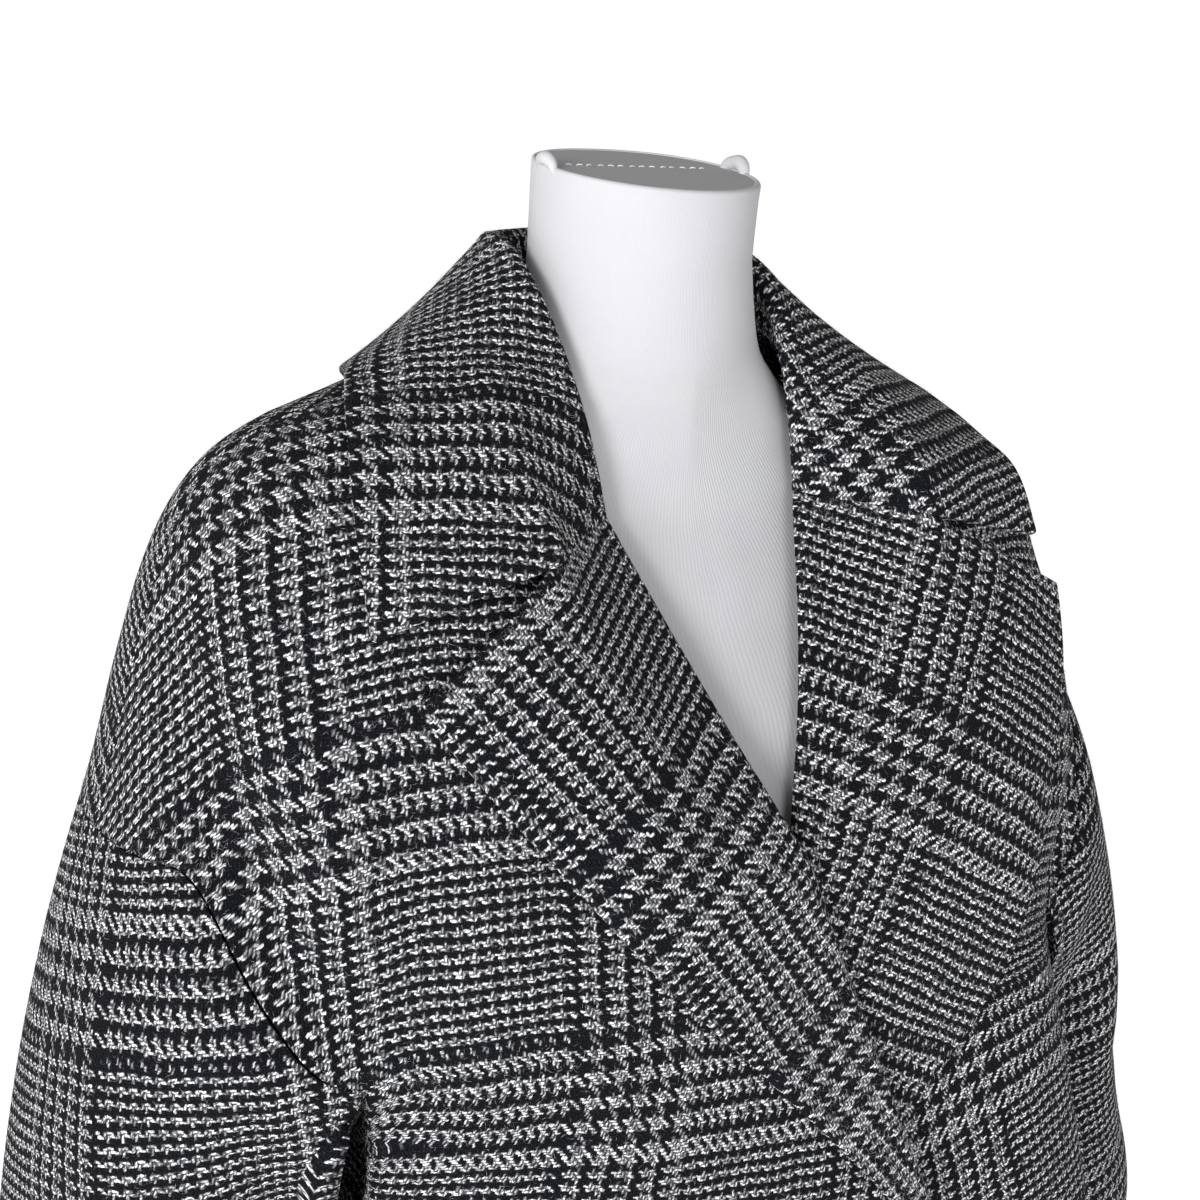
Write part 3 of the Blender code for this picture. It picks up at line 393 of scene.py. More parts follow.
def row_plan():
    """Each row's part of the panel, the drop at its inner end and its place along that part."""
    plan = []
    for i in range(HEM_ROWS):
        share = i / HEM_ROWS
        outer = COAT_LENGTH + (UNDERARM - COAT_LENGTH) * share
        inner = COAT_LENGTH + (SIDE_TO - COAT_LENGTH) * share
        plan.append(("side", inner, outer))
    for i in range(UNDER_ROWS):
        share = i / UNDER_ROWS
        plan.append(("under", SIDE_TO + (UNDER_TO - SIDE_TO) * share, share))
    for i in range(ARM_ROWS):
        share = i / ARM_ROWS
        plan.append(("arm", UNDER_TO + (ARM_TO - UNDER_TO) * share, share))
    for i in range(TOP_ROWS + 1):
        share = i / TOP_ROWS
        inner = ARM_TO * (1.0 - share) + 0.006 * share
        outer = SEAM_TOP * (1.0 - share) ** 1.15 + 0.004 * share
        plan.append(("top", inner, outer))
    return plan


DENSE = np.linspace(0.0, 1.0, 401)


def shoulder_row(side, inner_drop, end_angle, end_drop, start_x, front):
    """A dense row on the shoulder part, from start_x to an angle and drop at the seam."""
    start = share_to_angle(start_x / float(shoulder_width(side, inner_drop)), FULLNESS)
    angle = start + (end_angle - start) * DENSE
    drop = inner_drop + (end_drop - inner_drop) * DENSE
    own_x = shoulder_width(side, drop) * angle_to_share(angle, FULLNESS)
    if front:
        y = front_y(side, own_x, drop)
    else:
        y = shoulder_y(side, own_x, drop, False)
    return point(side, own_x, y, drop)


def body_row(side, inner_drop, outer_drop, start_x, front):
    """A dense row on the body, from start_x round to the side seam."""
    width = float(column(BODY, BODY_COLUMNS, "half_width", inner_drop))
    start = share_to_angle(start_x / width, BODY_FULLNESS)
    angle = start + (90.0 - start) * DENSE
    if not front:
        angle = 180.0 - angle
    drop = inner_drop + (outer_drop - inner_drop) * ramp(0.0, 1.0, DENSE)
    return body_point(side, angle, drop)


def panel_row(side, row, front, start_x=None):
    """One dense row of a front (from its inner edge) or of half the back (from the centre back)."""
    kind, inner_drop, end = row
    if start_x is None:
        start_x = inner_edge(inner_drop)[0] if front else 0.0
    if kind == "side":
        return body_row(side, inner_drop, end, start_x, front)
    if kind == "top":
        return shoulder_row(side, inner_drop, 90.0, end, start_x, front)
    angle, drop = armhole(end if kind == "arm" else 0.0)
    upper = shoulder_row(side, inner_drop, angle, drop, start_x, front)
    if kind == "arm":
        return upper
    lower = body_row(side, inner_drop, UNDERARM, start_x, front)
    risen = float(ramp(0.0, 1.0, end))
    turn = int(np.argmin(np.linalg.norm(lower[:, :2] - upper[-1, :2], axis=1)))
    corner = DENSE[turn]
    places = DENSE * (1.0 - (1.0 - corner) * risen)
    reached = np.minimum(places / corner, 1.0)
    shift = [np.interp(reached, DENSE, upper[:, k] - np.interp(DENSE * corner, DENSE, lower[:, k]))
             for k in range(3)]
    lower = np.stack([np.interp(places, DENSE, lower[:, k]) for k in range(3)], axis=1)
    return lower + np.stack(shift, axis=1) * risen


def front_grid(side, columns):
    """The front panel, hem to shoulder, from its inner edge out."""
    rows = []
    for row in row_plan():
        drop = row[1]
        below_neck = float(ramp(0.05, GORGE_DROP, drop))
        trim = NECK_TUCK + (TUCK - NECK_TUCK) * below_neck if drop < BREAK_DROP else 0.0
        sink = (SINK + GORGE_SINK * (1.0 - float(ramp(0.10, 0.20, drop)))) * below_neck
        path = panel_row(side, row, True)
        if drop < BREAK_DROP:
            path[:, 1] += sink * (1.0 - ramp(0.02, 0.06, np.abs(path[:, 0] - path[0, 0])))
        rows.append(resample(path, columns, trim + CLOTH_ROUND, SEAM_GAP + CLOTH_ROUND))
    return np.array(rows)


def back_grid(columns):
    """The back panel, hem to shoulder, from the right side seam round to the left."""
    rows = []
    for row in row_plan():
        if row[0] == "top" and row[1] < 0.010:
            row = ("top", 0.006, row[2])
        halves = []
        for side in (RIGHT, LEFT):
            halves.append(resample(panel_row(side, row, False), columns, 0.0,
                                   SEAM_GAP + CLOTH_ROUND))
        rows.append(np.concatenate([halves[0][::-1], halves[1][1:]]))
    return np.array(rows)


# The sleeves

SLEEVE_BLEND = 34         # rings from the armhole seam to the first level ring
SLEEVE_RINGS = 44         # level rings from there to the cuff
UNDERARM_SPLAY = 1.0      # slope of the sleeve away from the body at the underarm seam
SLEEVE_SPLAY = 0.5        # how far the sleeve turns out where the armhole seam turns under
ARMHOLE_GAP = 0.0005      # between the sleeve and the panels it is set into


def armhole_side(side, front):
    """Row ends round half of the armhole, from the top of the arm down to the underarm point.

    Each comes with the way the sleeve's surface runs on from it.
    """
    ends, ways = [], []
    for share in np.linspace(1.0, 0.0, ARM_ROWS + 1):
        angle, drop = armhole(share)
        pair = []
        for step in (0.0, 0.02):
            own_x = shoulder_width(side, drop + step) * angle_to_share(angle, FULLNESS)
            y = (front_y(side, own_x, drop + step) if front
                 else shoulder_y(side, own_x, drop + step, False))
            pair.append(point(side, own_x, y, drop + step))
        ends.append(pair[0])
        way = (pair[1] - pair[0]) / 0.02
        way[0] += side * SLEEVE_SPLAY * (1.0 - share) ** 2
        ways.append(way)
    for share in np.linspace(1.0, 0.0, UNDER_ROWS + 1)[1:]:
        row = ("under", SIDE_TO + (UNDER_TO - SIDE_TO) * share, share)
        ends.append(panel_row(side, row, front, 0.0)[-1])
        ways.append(np.array([UNDERARM_SPLAY * side, 0.0, -1.0]))
    return ends, ways


def armhole_loop(side):
    """The armhole from the top of the arm round by the front and back up the back."""
    front_ends, front_ways = armhole_side(side, True)
    back_ends, back_ways = armhole_side(side, False)
    ends = front_ends + back_ends[::-1][1:-1]
    ways = front_ways + back_ways[::-1][1:-1]
    return np.array(ends), np.array(ways)


def sleeve_ring(side, drop, count):
    """A level ring of the sleeve, from the outside of the arm round by the front."""
    own_x, y, half_width, half_depth = [float(column(SLEEVE, SLEEVE_COLUMNS, name, drop))
                                        for name in SLEEVE_COLUMNS[1:]]
    closer = float(sleeve_in(side, drop))
    own_x, half_width, half_depth = own_x - closer, half_width - 0.6 * closer, half_depth - 0.5 * closer
    angles = np.linspace(0.0, 2.0 * math.pi, 361)
    s, c = np.sin(angles), np.cos(angles)
    across = np.sign(c) * np.abs(c) ** (2.0 / SLEEVE_FULLNESS)
    ahead = np.sign(s) * np.abs(s) ** (2.0 / SLEEVE_FULLNESS)
    path = point(side, own_x + half_width * across, y - half_depth * ahead, drop)
    return resample(path, count + 1)[:-1]


def sleeve_grid(side):
    """The sleeve, from the armhole seam down to the cuff, round from the underarm and closed."""
    loop, ways = armhole_loop(side)
    count = len(loop)
    along = ways / np.linalg.norm(ways, axis=1)[:, None]
    start = loop + along * (ARMHOLE_GAP + CLOTH_ROUND)
    first = SLEEVE[0][0]
    ring = sleeve_ring(side, first, count)
    ring_ways = (sleeve_ring(side, first + 0.02, count) - ring) / 0.02
    reach = np.linalg.norm(ring - start, axis=1)[:, None]
    rows = [start]
    for t in np.linspace(0.0, 1.0, SLEEVE_BLEND + 1)[1:-1]:
        rows.append((1 + 2 * t) * (1 - t) ** 2 * start + t * (1 - t) ** 2 * reach * ways
                    + t * t * (3 - 2 * t) * ring + t * t * (t - 1) * reach * ring_ways)
    for drop in np.linspace(first, SLEEVE[-1][0], SLEEVE_RINGS):
        rows.append(sleeve_ring(side, drop, count))
    return np.roll(np.array(rows), count // 2, axis=1)


# Collar and lapels

ARC_POINTS = 15           # points round the collar's and lapels' fold
FALL_POINTS = 24          # points from that fold to the notch's share of the way out
COLLAR_END = 0.991        # the collar's and lapels' ends stop short by their edge's half round
LAPEL_END = 0.994


def collar_line(table, side, along):
    """Points of one of the collar's long lines."""
    values = [column(table, COLLAR_COLUMNS, name, along) for name in ("own_x", "y", "drop")]
    return point(side, *values)


def unit(vector):
    return vector / np.linalg.norm(vector)


def notch_offset(side, share):
    """How far the notch carries the collar's end off the straight, at a share of the way out."""
    start = collar_line(FOLD_LINE, side, 1.0)
    end = collar_line(COLLAR_EDGE, side, 1.0)
    notch = point(side, NOTCH[0], -NOTCH[1], NOTCH[2])
    off = notch - (start + (end - start) * NOTCH_SHARE)
    return off * min(share / NOTCH_SHARE, (1.0 - share) / (1.0 - NOTCH_SHARE))


def collar_path(side, along):
    """A dense section of the collar: neck seam, up the stand and over the fold, down the fall.

    Returns the way from the seam to the notch's share of the fall, and the way on to the edge.
    """
    seam = collar_line(NECK_SEAM, side, along)
    fold = collar_line(FOLD_LINE, side, along)
    edge = collar_line(COLLAR_EDGE, side, along)
    if side == LEFT:
        edge[2] += COLLAR_LIFT * float(ramp(0.15, 0.40, along) * (1.0 - ramp(0.85, 1.0, along)))
    down = unit(unit(seam - fold) + unit(edge - fold))
    out = edge - seam
    out = unit(out - down * float(np.dot(out, down)))
    centre = fold + down * ROLL
    inner = [seam - out * ROLL]
    for turn in np.linspace(-90.0, 90.0, ARC_POINTS):
        arc = math.radians(turn)
        inner.append(centre + ROLL * (out * math.sin(arc) - down * math.cos(arc)))
    top = inner[-1]
    front = float(ramp(0.62, 1.0, along))
    back = float(1.0 - ramp(0.15, 0.50, along))

    def fall(share):
        swell = np.array(COLLAR_SWELL) * (4.0 * share * (1.0 - share) * back)
        return top + (edge - top) * share + swell + notch_offset(side, share) * front

    inner += [fall(share) for share in np.linspace(0.0, NOTCH_SHARE, FALL_POINTS)[1:]]
    outer = [fall(share) for share in np.linspace(NOTCH_SHARE, 1.0, 2 * FALL_POINTS)]
    return np.array(inner), np.array(outer)


def join(inner, outer, across):
    """Even steps along both parts of a section, with a point where they meet."""
    first = across // 2 + 1
    rest = resample(outer, across - first + 1, 0.0, FACED_ROUND)
    return np.concatenate([resample(inner, first, FACED_ROUND), rest[1:]])


def collar_section(side, along, across):
    return join(*collar_path(side, along), across)


def collar_grid(halves, across):
    """The collar from its right front end round the back to its left one."""
    places = np.linspace(0.0, COLLAR_END, halves)
    right = [collar_section(RIGHT, along, across) for along in places[::-1]]
    left = [collar_section(LEFT, along, across) for along in places[1:]]
    return np.array(right + left)


def lapel_frame(side, drop):
    """The roll point at a drop, with the ways down the roll, out along the lapel and off it."""
    roll = roll_point(side, drop)
    tangent = unit(roll_point(side, drop - 0.01) - roll)
    normal = unit(np.cross(tangent, panel_step(side, roll, 0.01)))
    if normal[1] > 0.0:
        normal = -normal
    out = unit(np.cross(normal, tangent))
    if out[0] * side < 0.0:
        out = -out
    return roll, -tangent, out, normal


def lapel_path(side, along):
    """A dense row of a lapel over the front: round the roll from inside, then out to the edge."""
    drop = BREAK_DROP + (GORGE_DROP - BREAK_DROP) * along
    roll, _, out, normal = lapel_frame(side, drop)
    table = LAPEL_EDGE[side]
    edge_x, edge_drop, lift = [float(column(table, LAPEL_COLUMNS, name, along))
                               for name in ("own_x", "drop", "lift")]
    centre = roll + out * ROLL
    inner = []
    for turn in np.linspace(190.0, 95.0, ARC_POINTS):
        arc = math.radians(turn)
        inner.append(centre + ROLL * (out * math.cos(arc) + normal * math.sin(arc)))
    start_x = side * inner[-1][0]
    start_drop = NECK_POINT - inner[-1][2]
    start_lift = float(front_y(side, start_x, start_drop)) - inner[-1][1]

    def spread(share):
        own_x = start_x + (edge_x - start_x) * share
        row_drop = start_drop + (edge_drop - start_drop) * share
        row_lift = start_lift + (lift - start_lift) * ramp(0.0, 1.0, share)
        swell = LAPEL_SWELL * np.sin(math.pi * share) * ramp(0.3, 0.9, along)
        return point(side, own_x, front_y(side, own_x, row_drop) - row_lift - swell, row_drop)

    inner = np.concatenate([inner, spread(np.linspace(0.0, NOTCH_SHARE, FALL_POINTS)[1:])])
    return inner, spread(np.linspace(NOTCH_SHARE, 1.0, 2 * FALL_POINTS))


def gorge_path(side):
    """The lapel's top row: along the collar's end to the notch, then free out to the point."""
    down = lapel_frame(side, GORGE_DROP)[1] * GORGE_GAP
    collar_inner, _ = collar_path(side, 1.0)
    inner = collar_inner[ARC_POINTS // 2:] + down
    tip = lapel_path(side, 1.0)[1][-1]
    shares = np.linspace(0.0, 1.0, 2 * FALL_POINTS)[:, None]
    swell = np.sin(math.pi * shares) * np.array([0.0, -GORGE_SWELL, 0.0])
    return inner, inner[-1] + (tip - inner[-1]) * shares + swell


def lapel_row(side, along, across):
    """One row of a lapel; towards the top it turns from the front's slope to the gorge seam."""
    row = join(*lapel_path(side, along), across)
    top = join(*gorge_path(side), across)
    return row + (top - row) * float(ramp(0.70, 1.0, along))


def panel_step(side, start, step):
    """The way from a point of the front's edge to one a step further out on the front, level."""
    own_x = side * start[0]
    drop = NECK_POINT - start[2]
    change = front_y(side, own_x + step, drop) - front_y(side, own_x, drop)
    return np.array([side * step, float(change), 0.0])


def roll_point(side, drop):
    """A point of the roll line."""
    own_x = inner_edge(drop)[0]
    y = float(front_y(side, own_x, drop))
    return point(side, own_x, y, drop)


def lapel_grid(side, along, across):
    """A lapel, from the break up to the gorge seam and its point."""
    return np.array([lapel_row(side, share, across) for share in np.linspace(0.0, LAPEL_END, along)])


# The dress form

def form_ring(drop, count):
    """A ring of the torso or neck, level but for the lower left shoulder."""
    half, front, back, front_fullness = [float(column(FORM, FORM_COLUMNS, name, drop))
                                         for name in FORM_COLUMNS[1:]]
    angles = np.linspace(0.0, 2.0 * math.pi, count, endpoint=False)
    s, c = np.sin(angles), np.cos(angles)
    ahead = c > 0.0
    fullness = np.where(ahead, front_fullness, BACK_FULLNESS)
    x = half * np.sign(s) * np.abs(s) ** (2.0 / fullness)
    y = np.where(ahead, -front, back) * np.abs(c) ** (2.0 / fullness)
    sag = left_sag(np.maximum(x, 0.0), drop) * float(ramp(-0.020, 0.010, drop))
    return np.stack([x, y, NECK_POINT - drop - sag], axis=-1)


def form_rings(count, down_rows):
    """Rings from the slanted neck cap down to the underside of the hips."""
    top = FORM[0][0]
    neck = form_ring(top, count)
    rings = []
    for share in np.linspace(1.0, 0.0, 5)[:-1]:
        rise = (NECK_TOP + top) * share
        ring = neck.copy()
        ring[:, 2] += rise
        ring[:, 1] -= NECK_LEAN * rise
        middle = ring.mean(axis=0)
        slant = share ** 2
        ring[:, 2] -= slant * (CAP_SLANT[0] * (ring[:, 0] - middle[0])
                               - CAP_SLANT[1] * (ring[:, 1] - middle[1]))
        rings.append(ring)
    for share in np.linspace(0.0, 1.0, down_rows):
        rings.append(form_ring(top + (FORM[-1][0] - top) * share ** 1.5, count))
    return rings


# Cloth shells

RIM_STEPS = 5             # points round the half circle of a cut edge
COARSE = 6                # every sixth point is used for the first flattening
COARSE_ROUNDS, FINE_ROUNDS = 3000, 400
SHEAR = 0.25              # stiffness against slanting, with 1 for stretching a thread
OVERSHOOT = 1.6           # how far each round carries a point past its own even place
MERGE = 2e-6              # points closer than this are one


def grid_steps(grid, axis, closed):
    """Central differences of a grid along an axis, round the tube where it is closed."""
    if closed and axis == 1:
        return np.roll(grid, -1, axis=1) - np.roll(grid, 1, axis=1)
    return np.gradient(grid, axis=axis)


def surface_normals(grid, closed, flip):
    """Unit normals of a grid of points, out of the cloth's right side."""
    normal = np.cross(grid_steps(grid, 1, closed), grid_steps(grid, 0, closed))
    normal /= np.maximum(np.linalg.norm(normal, axis=2), 1e-12)[..., None]
    return -normal if flip else normal


def relax(flat, grid, rounds):
    """Shift flat points until the threads are as long as on the surface; they may slant."""
    links = ((1, 0, 1.0), (0, 1, 1.0), (1, 1, SHEAR), (1, -1, SHEAR))
    rows, columns = flat.shape[:2]
    plan = []
    weight = np.zeros((rows, columns, 1))
    for down, across, stiffness in links:
        left, right = max(0, -across), columns - max(0, across)
        near = (slice(0, rows - down), slice(left, right))
        far = (slice(down, rows), slice(left + across, right + across))
        length = np.linalg.norm(grid[far] - grid[near], axis=2)[..., None]
        plan.append((near, far, stiffness, length))
        weight[near] += stiffness
        weight[far] += stiffness
    for _ in range(rounds):
        shift = np.zeros_like(flat)
        for near, far, stiffness, length in plan:
            gap = flat[far] - flat[near]
            size = np.maximum(np.linalg.norm(gap, axis=2)[..., None], 1e-9)
            pull = gap * (0.5 * stiffness * (1.0 - length / size))
            shift[near] += pull
            shift[far] -= pull
        flat = flat + OVERSHOOT * shift / weight
    return flat


def flatten(grid, start):
    """The flat pattern piece of a surface, in metres: one point for each point of the grid.

    start holds the flat coordinate across of each row's first point.
    """
    rows, columns = grid.shape[:2]
    r = np.linspace(0, rows - 1, rows // COARSE + 1).round().astype(int)
    c = np.linspace(0, columns - 1, columns // COARSE + 1).round().astype(int)
    coarse = grid[r][:, c]
    along_rows = np.linalg.norm(np.diff(coarse, axis=1), axis=2)
    across = np.concatenate([np.zeros((len(r), 1)), np.cumsum(along_rows, axis=1)], axis=1)
    across += start[r][:, None]
    middle = coarse[:, len(c) // 2]
    down = np.concatenate([[0.0], np.cumsum(np.linalg.norm(np.diff(middle, axis=0), axis=1))])
    first = np.stack(np.broadcast_arrays(across, down[:, None]), axis=2)
    solved = relax(first, coarse, COARSE_ROUNDS)
    even_r = np.interp(np.arange(rows), r, np.arange(len(r)))
    even_c = np.interp(np.arange(columns), c, np.arange(len(c)))
    fine = np.empty((rows, columns, 2))
    for k in (0, 1):
        part = np.array([np.interp(even_c, np.arange(len(c)), row) for row in solved[:, :, k]])
        fine[:, :, k] = np.array([np.interp(even_r, np.arange(len(r)), column)
                                  for column in part.T]).T
    return relax(fine, grid, FINE_ROUNDS)


def turned(flat, degrees, across, along, bow_from, bow):
    """A flat pattern piece turned on the cloth and put where the check should fall."""
    arc = math.radians(degrees)
    u = flat[:, :, 0] * math.cos(arc) - flat[:, :, 1] * math.sin(arc)
    v = flat[:, :, 0] * math.sin(arc) + flat[:, :, 1] * math.cos(arc)
    v = v + bow * np.maximum(flat[:, :, 0] - bow_from, 0.0) ** 2
    return np.stack([u + across, v + along], axis=2)


def outwards(values, axis):
    """Unit steps out over a grid's first and last line along an axis, and 0 between them."""
    steps = np.zeros_like(values)
    ends = np.moveaxis(steps, axis, 0)
    source = np.moveaxis(values, axis, 0)
    ends[0] = source[0] - source[1]
    ends[-1] = source[-1] - source[-2]
    size = np.maximum(np.linalg.norm(steps, axis=2), 1e-12)[..., None]
    return steps / size


def rounded(grid, normal, flat, radius, closed):
    """The grid's right side with its cut edges turned round half a circle to the wrong side."""
    rows, columns = grid.shape[:2]
    row_index = np.arange(-RIM_STEPS, rows + RIM_STEPS)
    r = np.clip(row_index, 0, rows - 1)
    out_row = (np.abs(row_index - r) / RIM_STEPS)[:, None]
    c = slice(None)
    out_column = np.zeros((1, 1))
    if not closed:
        column_index = np.arange(-RIM_STEPS, columns + RIM_STEPS)
        c = np.clip(column_index, 0, columns - 1)
        out_column = (np.abs(column_index - c) / RIM_STEPS)[None, :]
    out = np.maximum(out_row, out_column)
    even = np.maximum(out, 1e-9)
    corner = np.where(out_row >= out_column, 0.25 * out_column / even, 0.5 - 0.25 * out_row / even)
    corner = (corner * math.pi)[..., None]
    theta = np.minimum(out * math.pi, math.pi - 1e-9)[..., None]

    def pick(values):
        return values[r][:, c]

    way = pick(outwards(grid, 0)) * np.cos(corner)
    flat_way = pick(outwards(flat, 0)) * np.cos(corner)
    if not closed:
        way = way + pick(outwards(grid, 1)) * np.sin(corner)
        flat_way = flat_way + pick(outwards(flat, 1)) * np.sin(corner)
    way /= np.maximum(np.linalg.norm(way, axis=2), 1e-12)[..., None]
    n = pick(normal)
    over = np.sign(np.cos(theta)) * np.sqrt(np.abs(np.cos(theta)))
    turned_grid = pick(grid) - radius * n + radius * (n * over + way * np.sqrt(np.sin(theta)))
    edge = (out > 0.0)[..., None]
    return (np.where(edge, turned_grid, pick(grid)),
            pick(flat) + np.where(edge, flat_way * radius * theta, 0.0))


def quads(rows, columns, closed, first, flip):
    """Corner numbers of a grid's faces, its points numbered from first."""
    r, c = np.meshgrid(np.arange(rows - 1), np.arange(columns if closed else columns - 1),
                       indexing="ij")
    n = (c + 1) % columns
    ring = np.stack([r * columns + c, r * columns + n, (r + 1) * columns + n,
                     (r + 1) * columns + c], axis=-1).reshape(-1, 4) + first
    return ring[:, ::-1] if flip else ring


def corner_values(values, flip):
    """Each face corner's flat coordinates; a tube has them for its first column twice."""
    ring = np.stack([values[:-1, :-1], values[:-1, 1:], values[1:, 1:], values[1:, :-1]], axis=2)
    ring = ring.reshape(-1, 4, 2)
    return ring[:, ::-1] if flip else ring


def cloth_mesh(name, points, faces, corners):
    """A smooth mesh with cloth coordinates; points that meet at a rim's end are made one."""
    data = bpy.data.meshes.new(name)
    data.from_pydata(points.tolist(), [], faces.tolist())
    layer = data.uv_layers.new(name="cloth")
    layer.data.foreach_set("uv", corners.reshape(-1).astype(np.float32))
    mesh = bmesh.new()
    mesh.from_mesh(data)
    bmesh.ops.remove_doubles(mesh, verts=mesh.verts, dist=MERGE)
    mesh.to_mesh(data)
    mesh.free()
    data.shade_smooth()
    return data


def shell(name, grid, flat, thickness, closed=False, flip=False):
    """A cloth piece with a wall and rounded edges, on the grid of its right side."""
    normal = surface_normals(grid, closed, flip)
    outer, outer_flat = rounded(grid, normal, flat, thickness / 2.0, closed)
    inner = grid - normal * thickness
    faces = np.concatenate([
        quads(*outer.shape[:2], closed, 0, flip),
        quads(*inner.shape[:2], closed, outer.shape[0] * outer.shape[1], not flip)])
    corners = np.concatenate([corner_values(outer_flat, flip), corner_values(flat, not flip)])
    points = np.concatenate([outer.reshape(-1, 3), inner.reshape(-1, 3)])
    item = bpy.data.objects.new(name, cloth_mesh(name, points, faces, corners))
    bpy.context.scene.collection.objects.link(item)
    return item


# Creases: soft troughs (below 0) and ridges along a line of points on the cloth

CREASE_COLUMNS = ("x", "y", "z", "width", "height")
CREASES = {
    # the troughs from the shoulders down to the underarms, and the folds beside them
    "coat": (
        ((-0.250, -0.010, 1.325, 0.022, -0.002), (-0.254, -0.045, 1.270, 0.024, -0.013),
         (-0.244, -0.078, 1.215, 0.024, -0.018), (-0.230, -0.102, 1.156, 0.020, -0.013)),
        ((-0.226, -0.050, 1.325, 0.026, 0.002), (-0.222, -0.085, 1.255, 0.026, 0.007),
         (-0.208, -0.106, 1.190, 0.024, 0.008), (-0.190, -0.110, 1.120, 0.022, 0.005)),
        ((-0.170, -0.108, 1.255, 0.018, -0.001), (-0.195, -0.106, 1.190, 0.020, -0.004),
         (-0.185, -0.112, 1.110, 0.016, -0.002)),
        ((-0.115, -0.118, 1.290, 0.022, 0.000), (-0.150, -0.120, 1.225, 0.024, 0.003),
         (-0.165, -0.130, 1.120, 0.022, 0.004), (-0.160, -0.145, 1.000, 0.026, 0.002)),
        ((0.232, -0.045, 1.290, 0.020, -0.001), (0.236, -0.060, 1.235, 0.022, -0.007),
         (0.222, -0.085, 1.170, 0.020, -0.009), (0.210, -0.100, 1.130, 0.016, -0.004)),
        ((0.205, -0.080, 1.260, 0.024, 0.003), (0.190, -0.105, 1.170, 0.022, 0.006),
         (0.172, -0.125, 1.080, 0.022, 0.003)),
        ((-0.238, 0.060, 1.290, 0.022, -0.001), (-0.232, 0.095, 1.220, 0.024, -0.008),
         (-0.205, 0.125, 1.130, 0.020, -0.007), (-0.190, 0.140, 1.060, 0.020, -0.002)),
        ((-0.195, 0.110, 1.290, 0.028, 0.002), (-0.180, 0.135, 1.190, 0.028, 0.006),
         (-0.160, 0.150, 1.060, 0.026, 0.003)),
        ((0.226, 0.060, 1.270, 0.022, -0.001), (0.222, 0.090, 1.205, 0.024, -0.007),
         (0.200, 0.120, 1.120, 0.020, -0.006), (0.188, 0.140, 1.050, 0.020, -0.002)),
        ((0.180, 0.115, 1.270, 0.028, 0.002), (0.170, 0.135, 1.180, 0.028, 0.006),
         (0.150, 0.150, 1.050, 0.026, 0.003)),
        ((-0.030, 0.140, 1.230, 0.030, 0.000), (-0.050, 0.165, 1.050, 0.034, 0.004),
         (-0.060, 0.180, 0.800, 0.034, 0.003)),
    ),
    # the soft breaks of the sleeves, the deepest in front of the wearer's right underarm
    "sleeve": (
        ((-0.258, -0.085, 1.130, 0.014, 0.000), (-0.244, -0.086, 1.085, 0.024, -0.014),
         (-0.240, -0.086, 1.020, 0.028, -0.020), (-0.248, -0.080, 0.900, 0.026, -0.008)),
        ((-0.300, -0.030, 1.160, 0.018, 0.000), (-0.305, -0.052, 1.080, 0.020, 0.005),
         (-0.300, -0.070, 0.960, 0.022, 0.004), (-0.310, -0.050, 0.850, 0.020, 0.002)),
        ((-0.330, 0.010, 1.040, 0.016, 0.000), (-0.318, -0.045, 0.990, 0.018, -0.005),
         (-0.290, -0.075, 0.960, 0.016, -0.002)),
        ((-0.345, 0.020, 0.930, 0.018, 0.001), (-0.325, -0.035, 0.900, 0.016, 0.004),
         (-0.300, -0.060, 0.890, 0.014, 0.001)),
        ((0.240, -0.085, 1.120, 0.014, -0.002), (0.236, -0.088, 1.050, 0.018, -0.006),
         (0.250, -0.080, 0.960, 0.018, -0.003)),
        ((0.270, -0.060, 1.120, 0.016, 0.001), (0.275, -0.070, 1.030, 0.018, 0.005),
         (0.285, -0.060, 0.900, 0.018, 0.002)),
        ((0.318, 0.010, 1.030, 0.016, 0.000), (0.300, -0.050, 0.985, 0.016, -0.004),
         (0.270, -0.070, 0.960, 0.014, -0.001)),
        ((0.330, 0.020, 0.920, 0.016, 0.001), (0.310, -0.035, 0.890, 0.016, 0.004),
         (0.285, -0.058, 0.880, 0.014, 0.001)),
    ),
    # the near end of the collar stands off the lapel
    "collar": (
        ((-0.176, -0.091, 1.316, 0.014, 0.002), (-0.150, -0.095, 1.329, 0.018, 0.009),
         (-0.126, -0.100, 1.336, 0.018, 0.010), (-0.106, -0.100, 1.345, 0.012, 0.004)),
    ),
    "form": (
        ((0.016, -0.050, 1.345, 0.004, 0.0000), (0.013, -0.066, 1.310, 0.005, 0.0007),
         (0.008, -0.082, 1.281, 0.006, 0.0006), (0.004, -0.100, 1.240, 0.006, 0.0000)),
    ),
}
BODY_REACH = (0.28, 0.15)   # half the width and depth of the oval that level_outward stands on


def crease(grid, normal, lines):
    """The grid with each line's trough or ridge; it fades out towards the line's two ends."""
    width_at, height_at = [CREASE_COLUMNS.index(name) for name in ("width", "height")]
    lift = np.zeros(grid.shape[:2])
    for line in lines:
        data = np.array(line, dtype=float)
        nearest = np.full(grid.shape[:2], np.inf)
        height = np.zeros(grid.shape[:2])
        for start, end in zip(data[:-1], data[1:]):
            way = end[:3] - start[:3]
            along = np.clip(((grid - start[:3]) @ way) / float(way @ way), 0.0, 1.0)
            gap = np.linalg.norm(grid - start[:3] - along[..., None] * way, axis=2)
            width = start[width_at] + (end[width_at] - start[width_at]) * along
            tall = start[height_at] + (end[height_at] - start[height_at]) * along
            share = gap / width
            closer = share < nearest
            nearest = np.where(closer, share, nearest)
            height = np.where(closer, tall, height)
        lift += height * np.exp(-nearest ** 2)
    return grid + normal * lift[..., None]


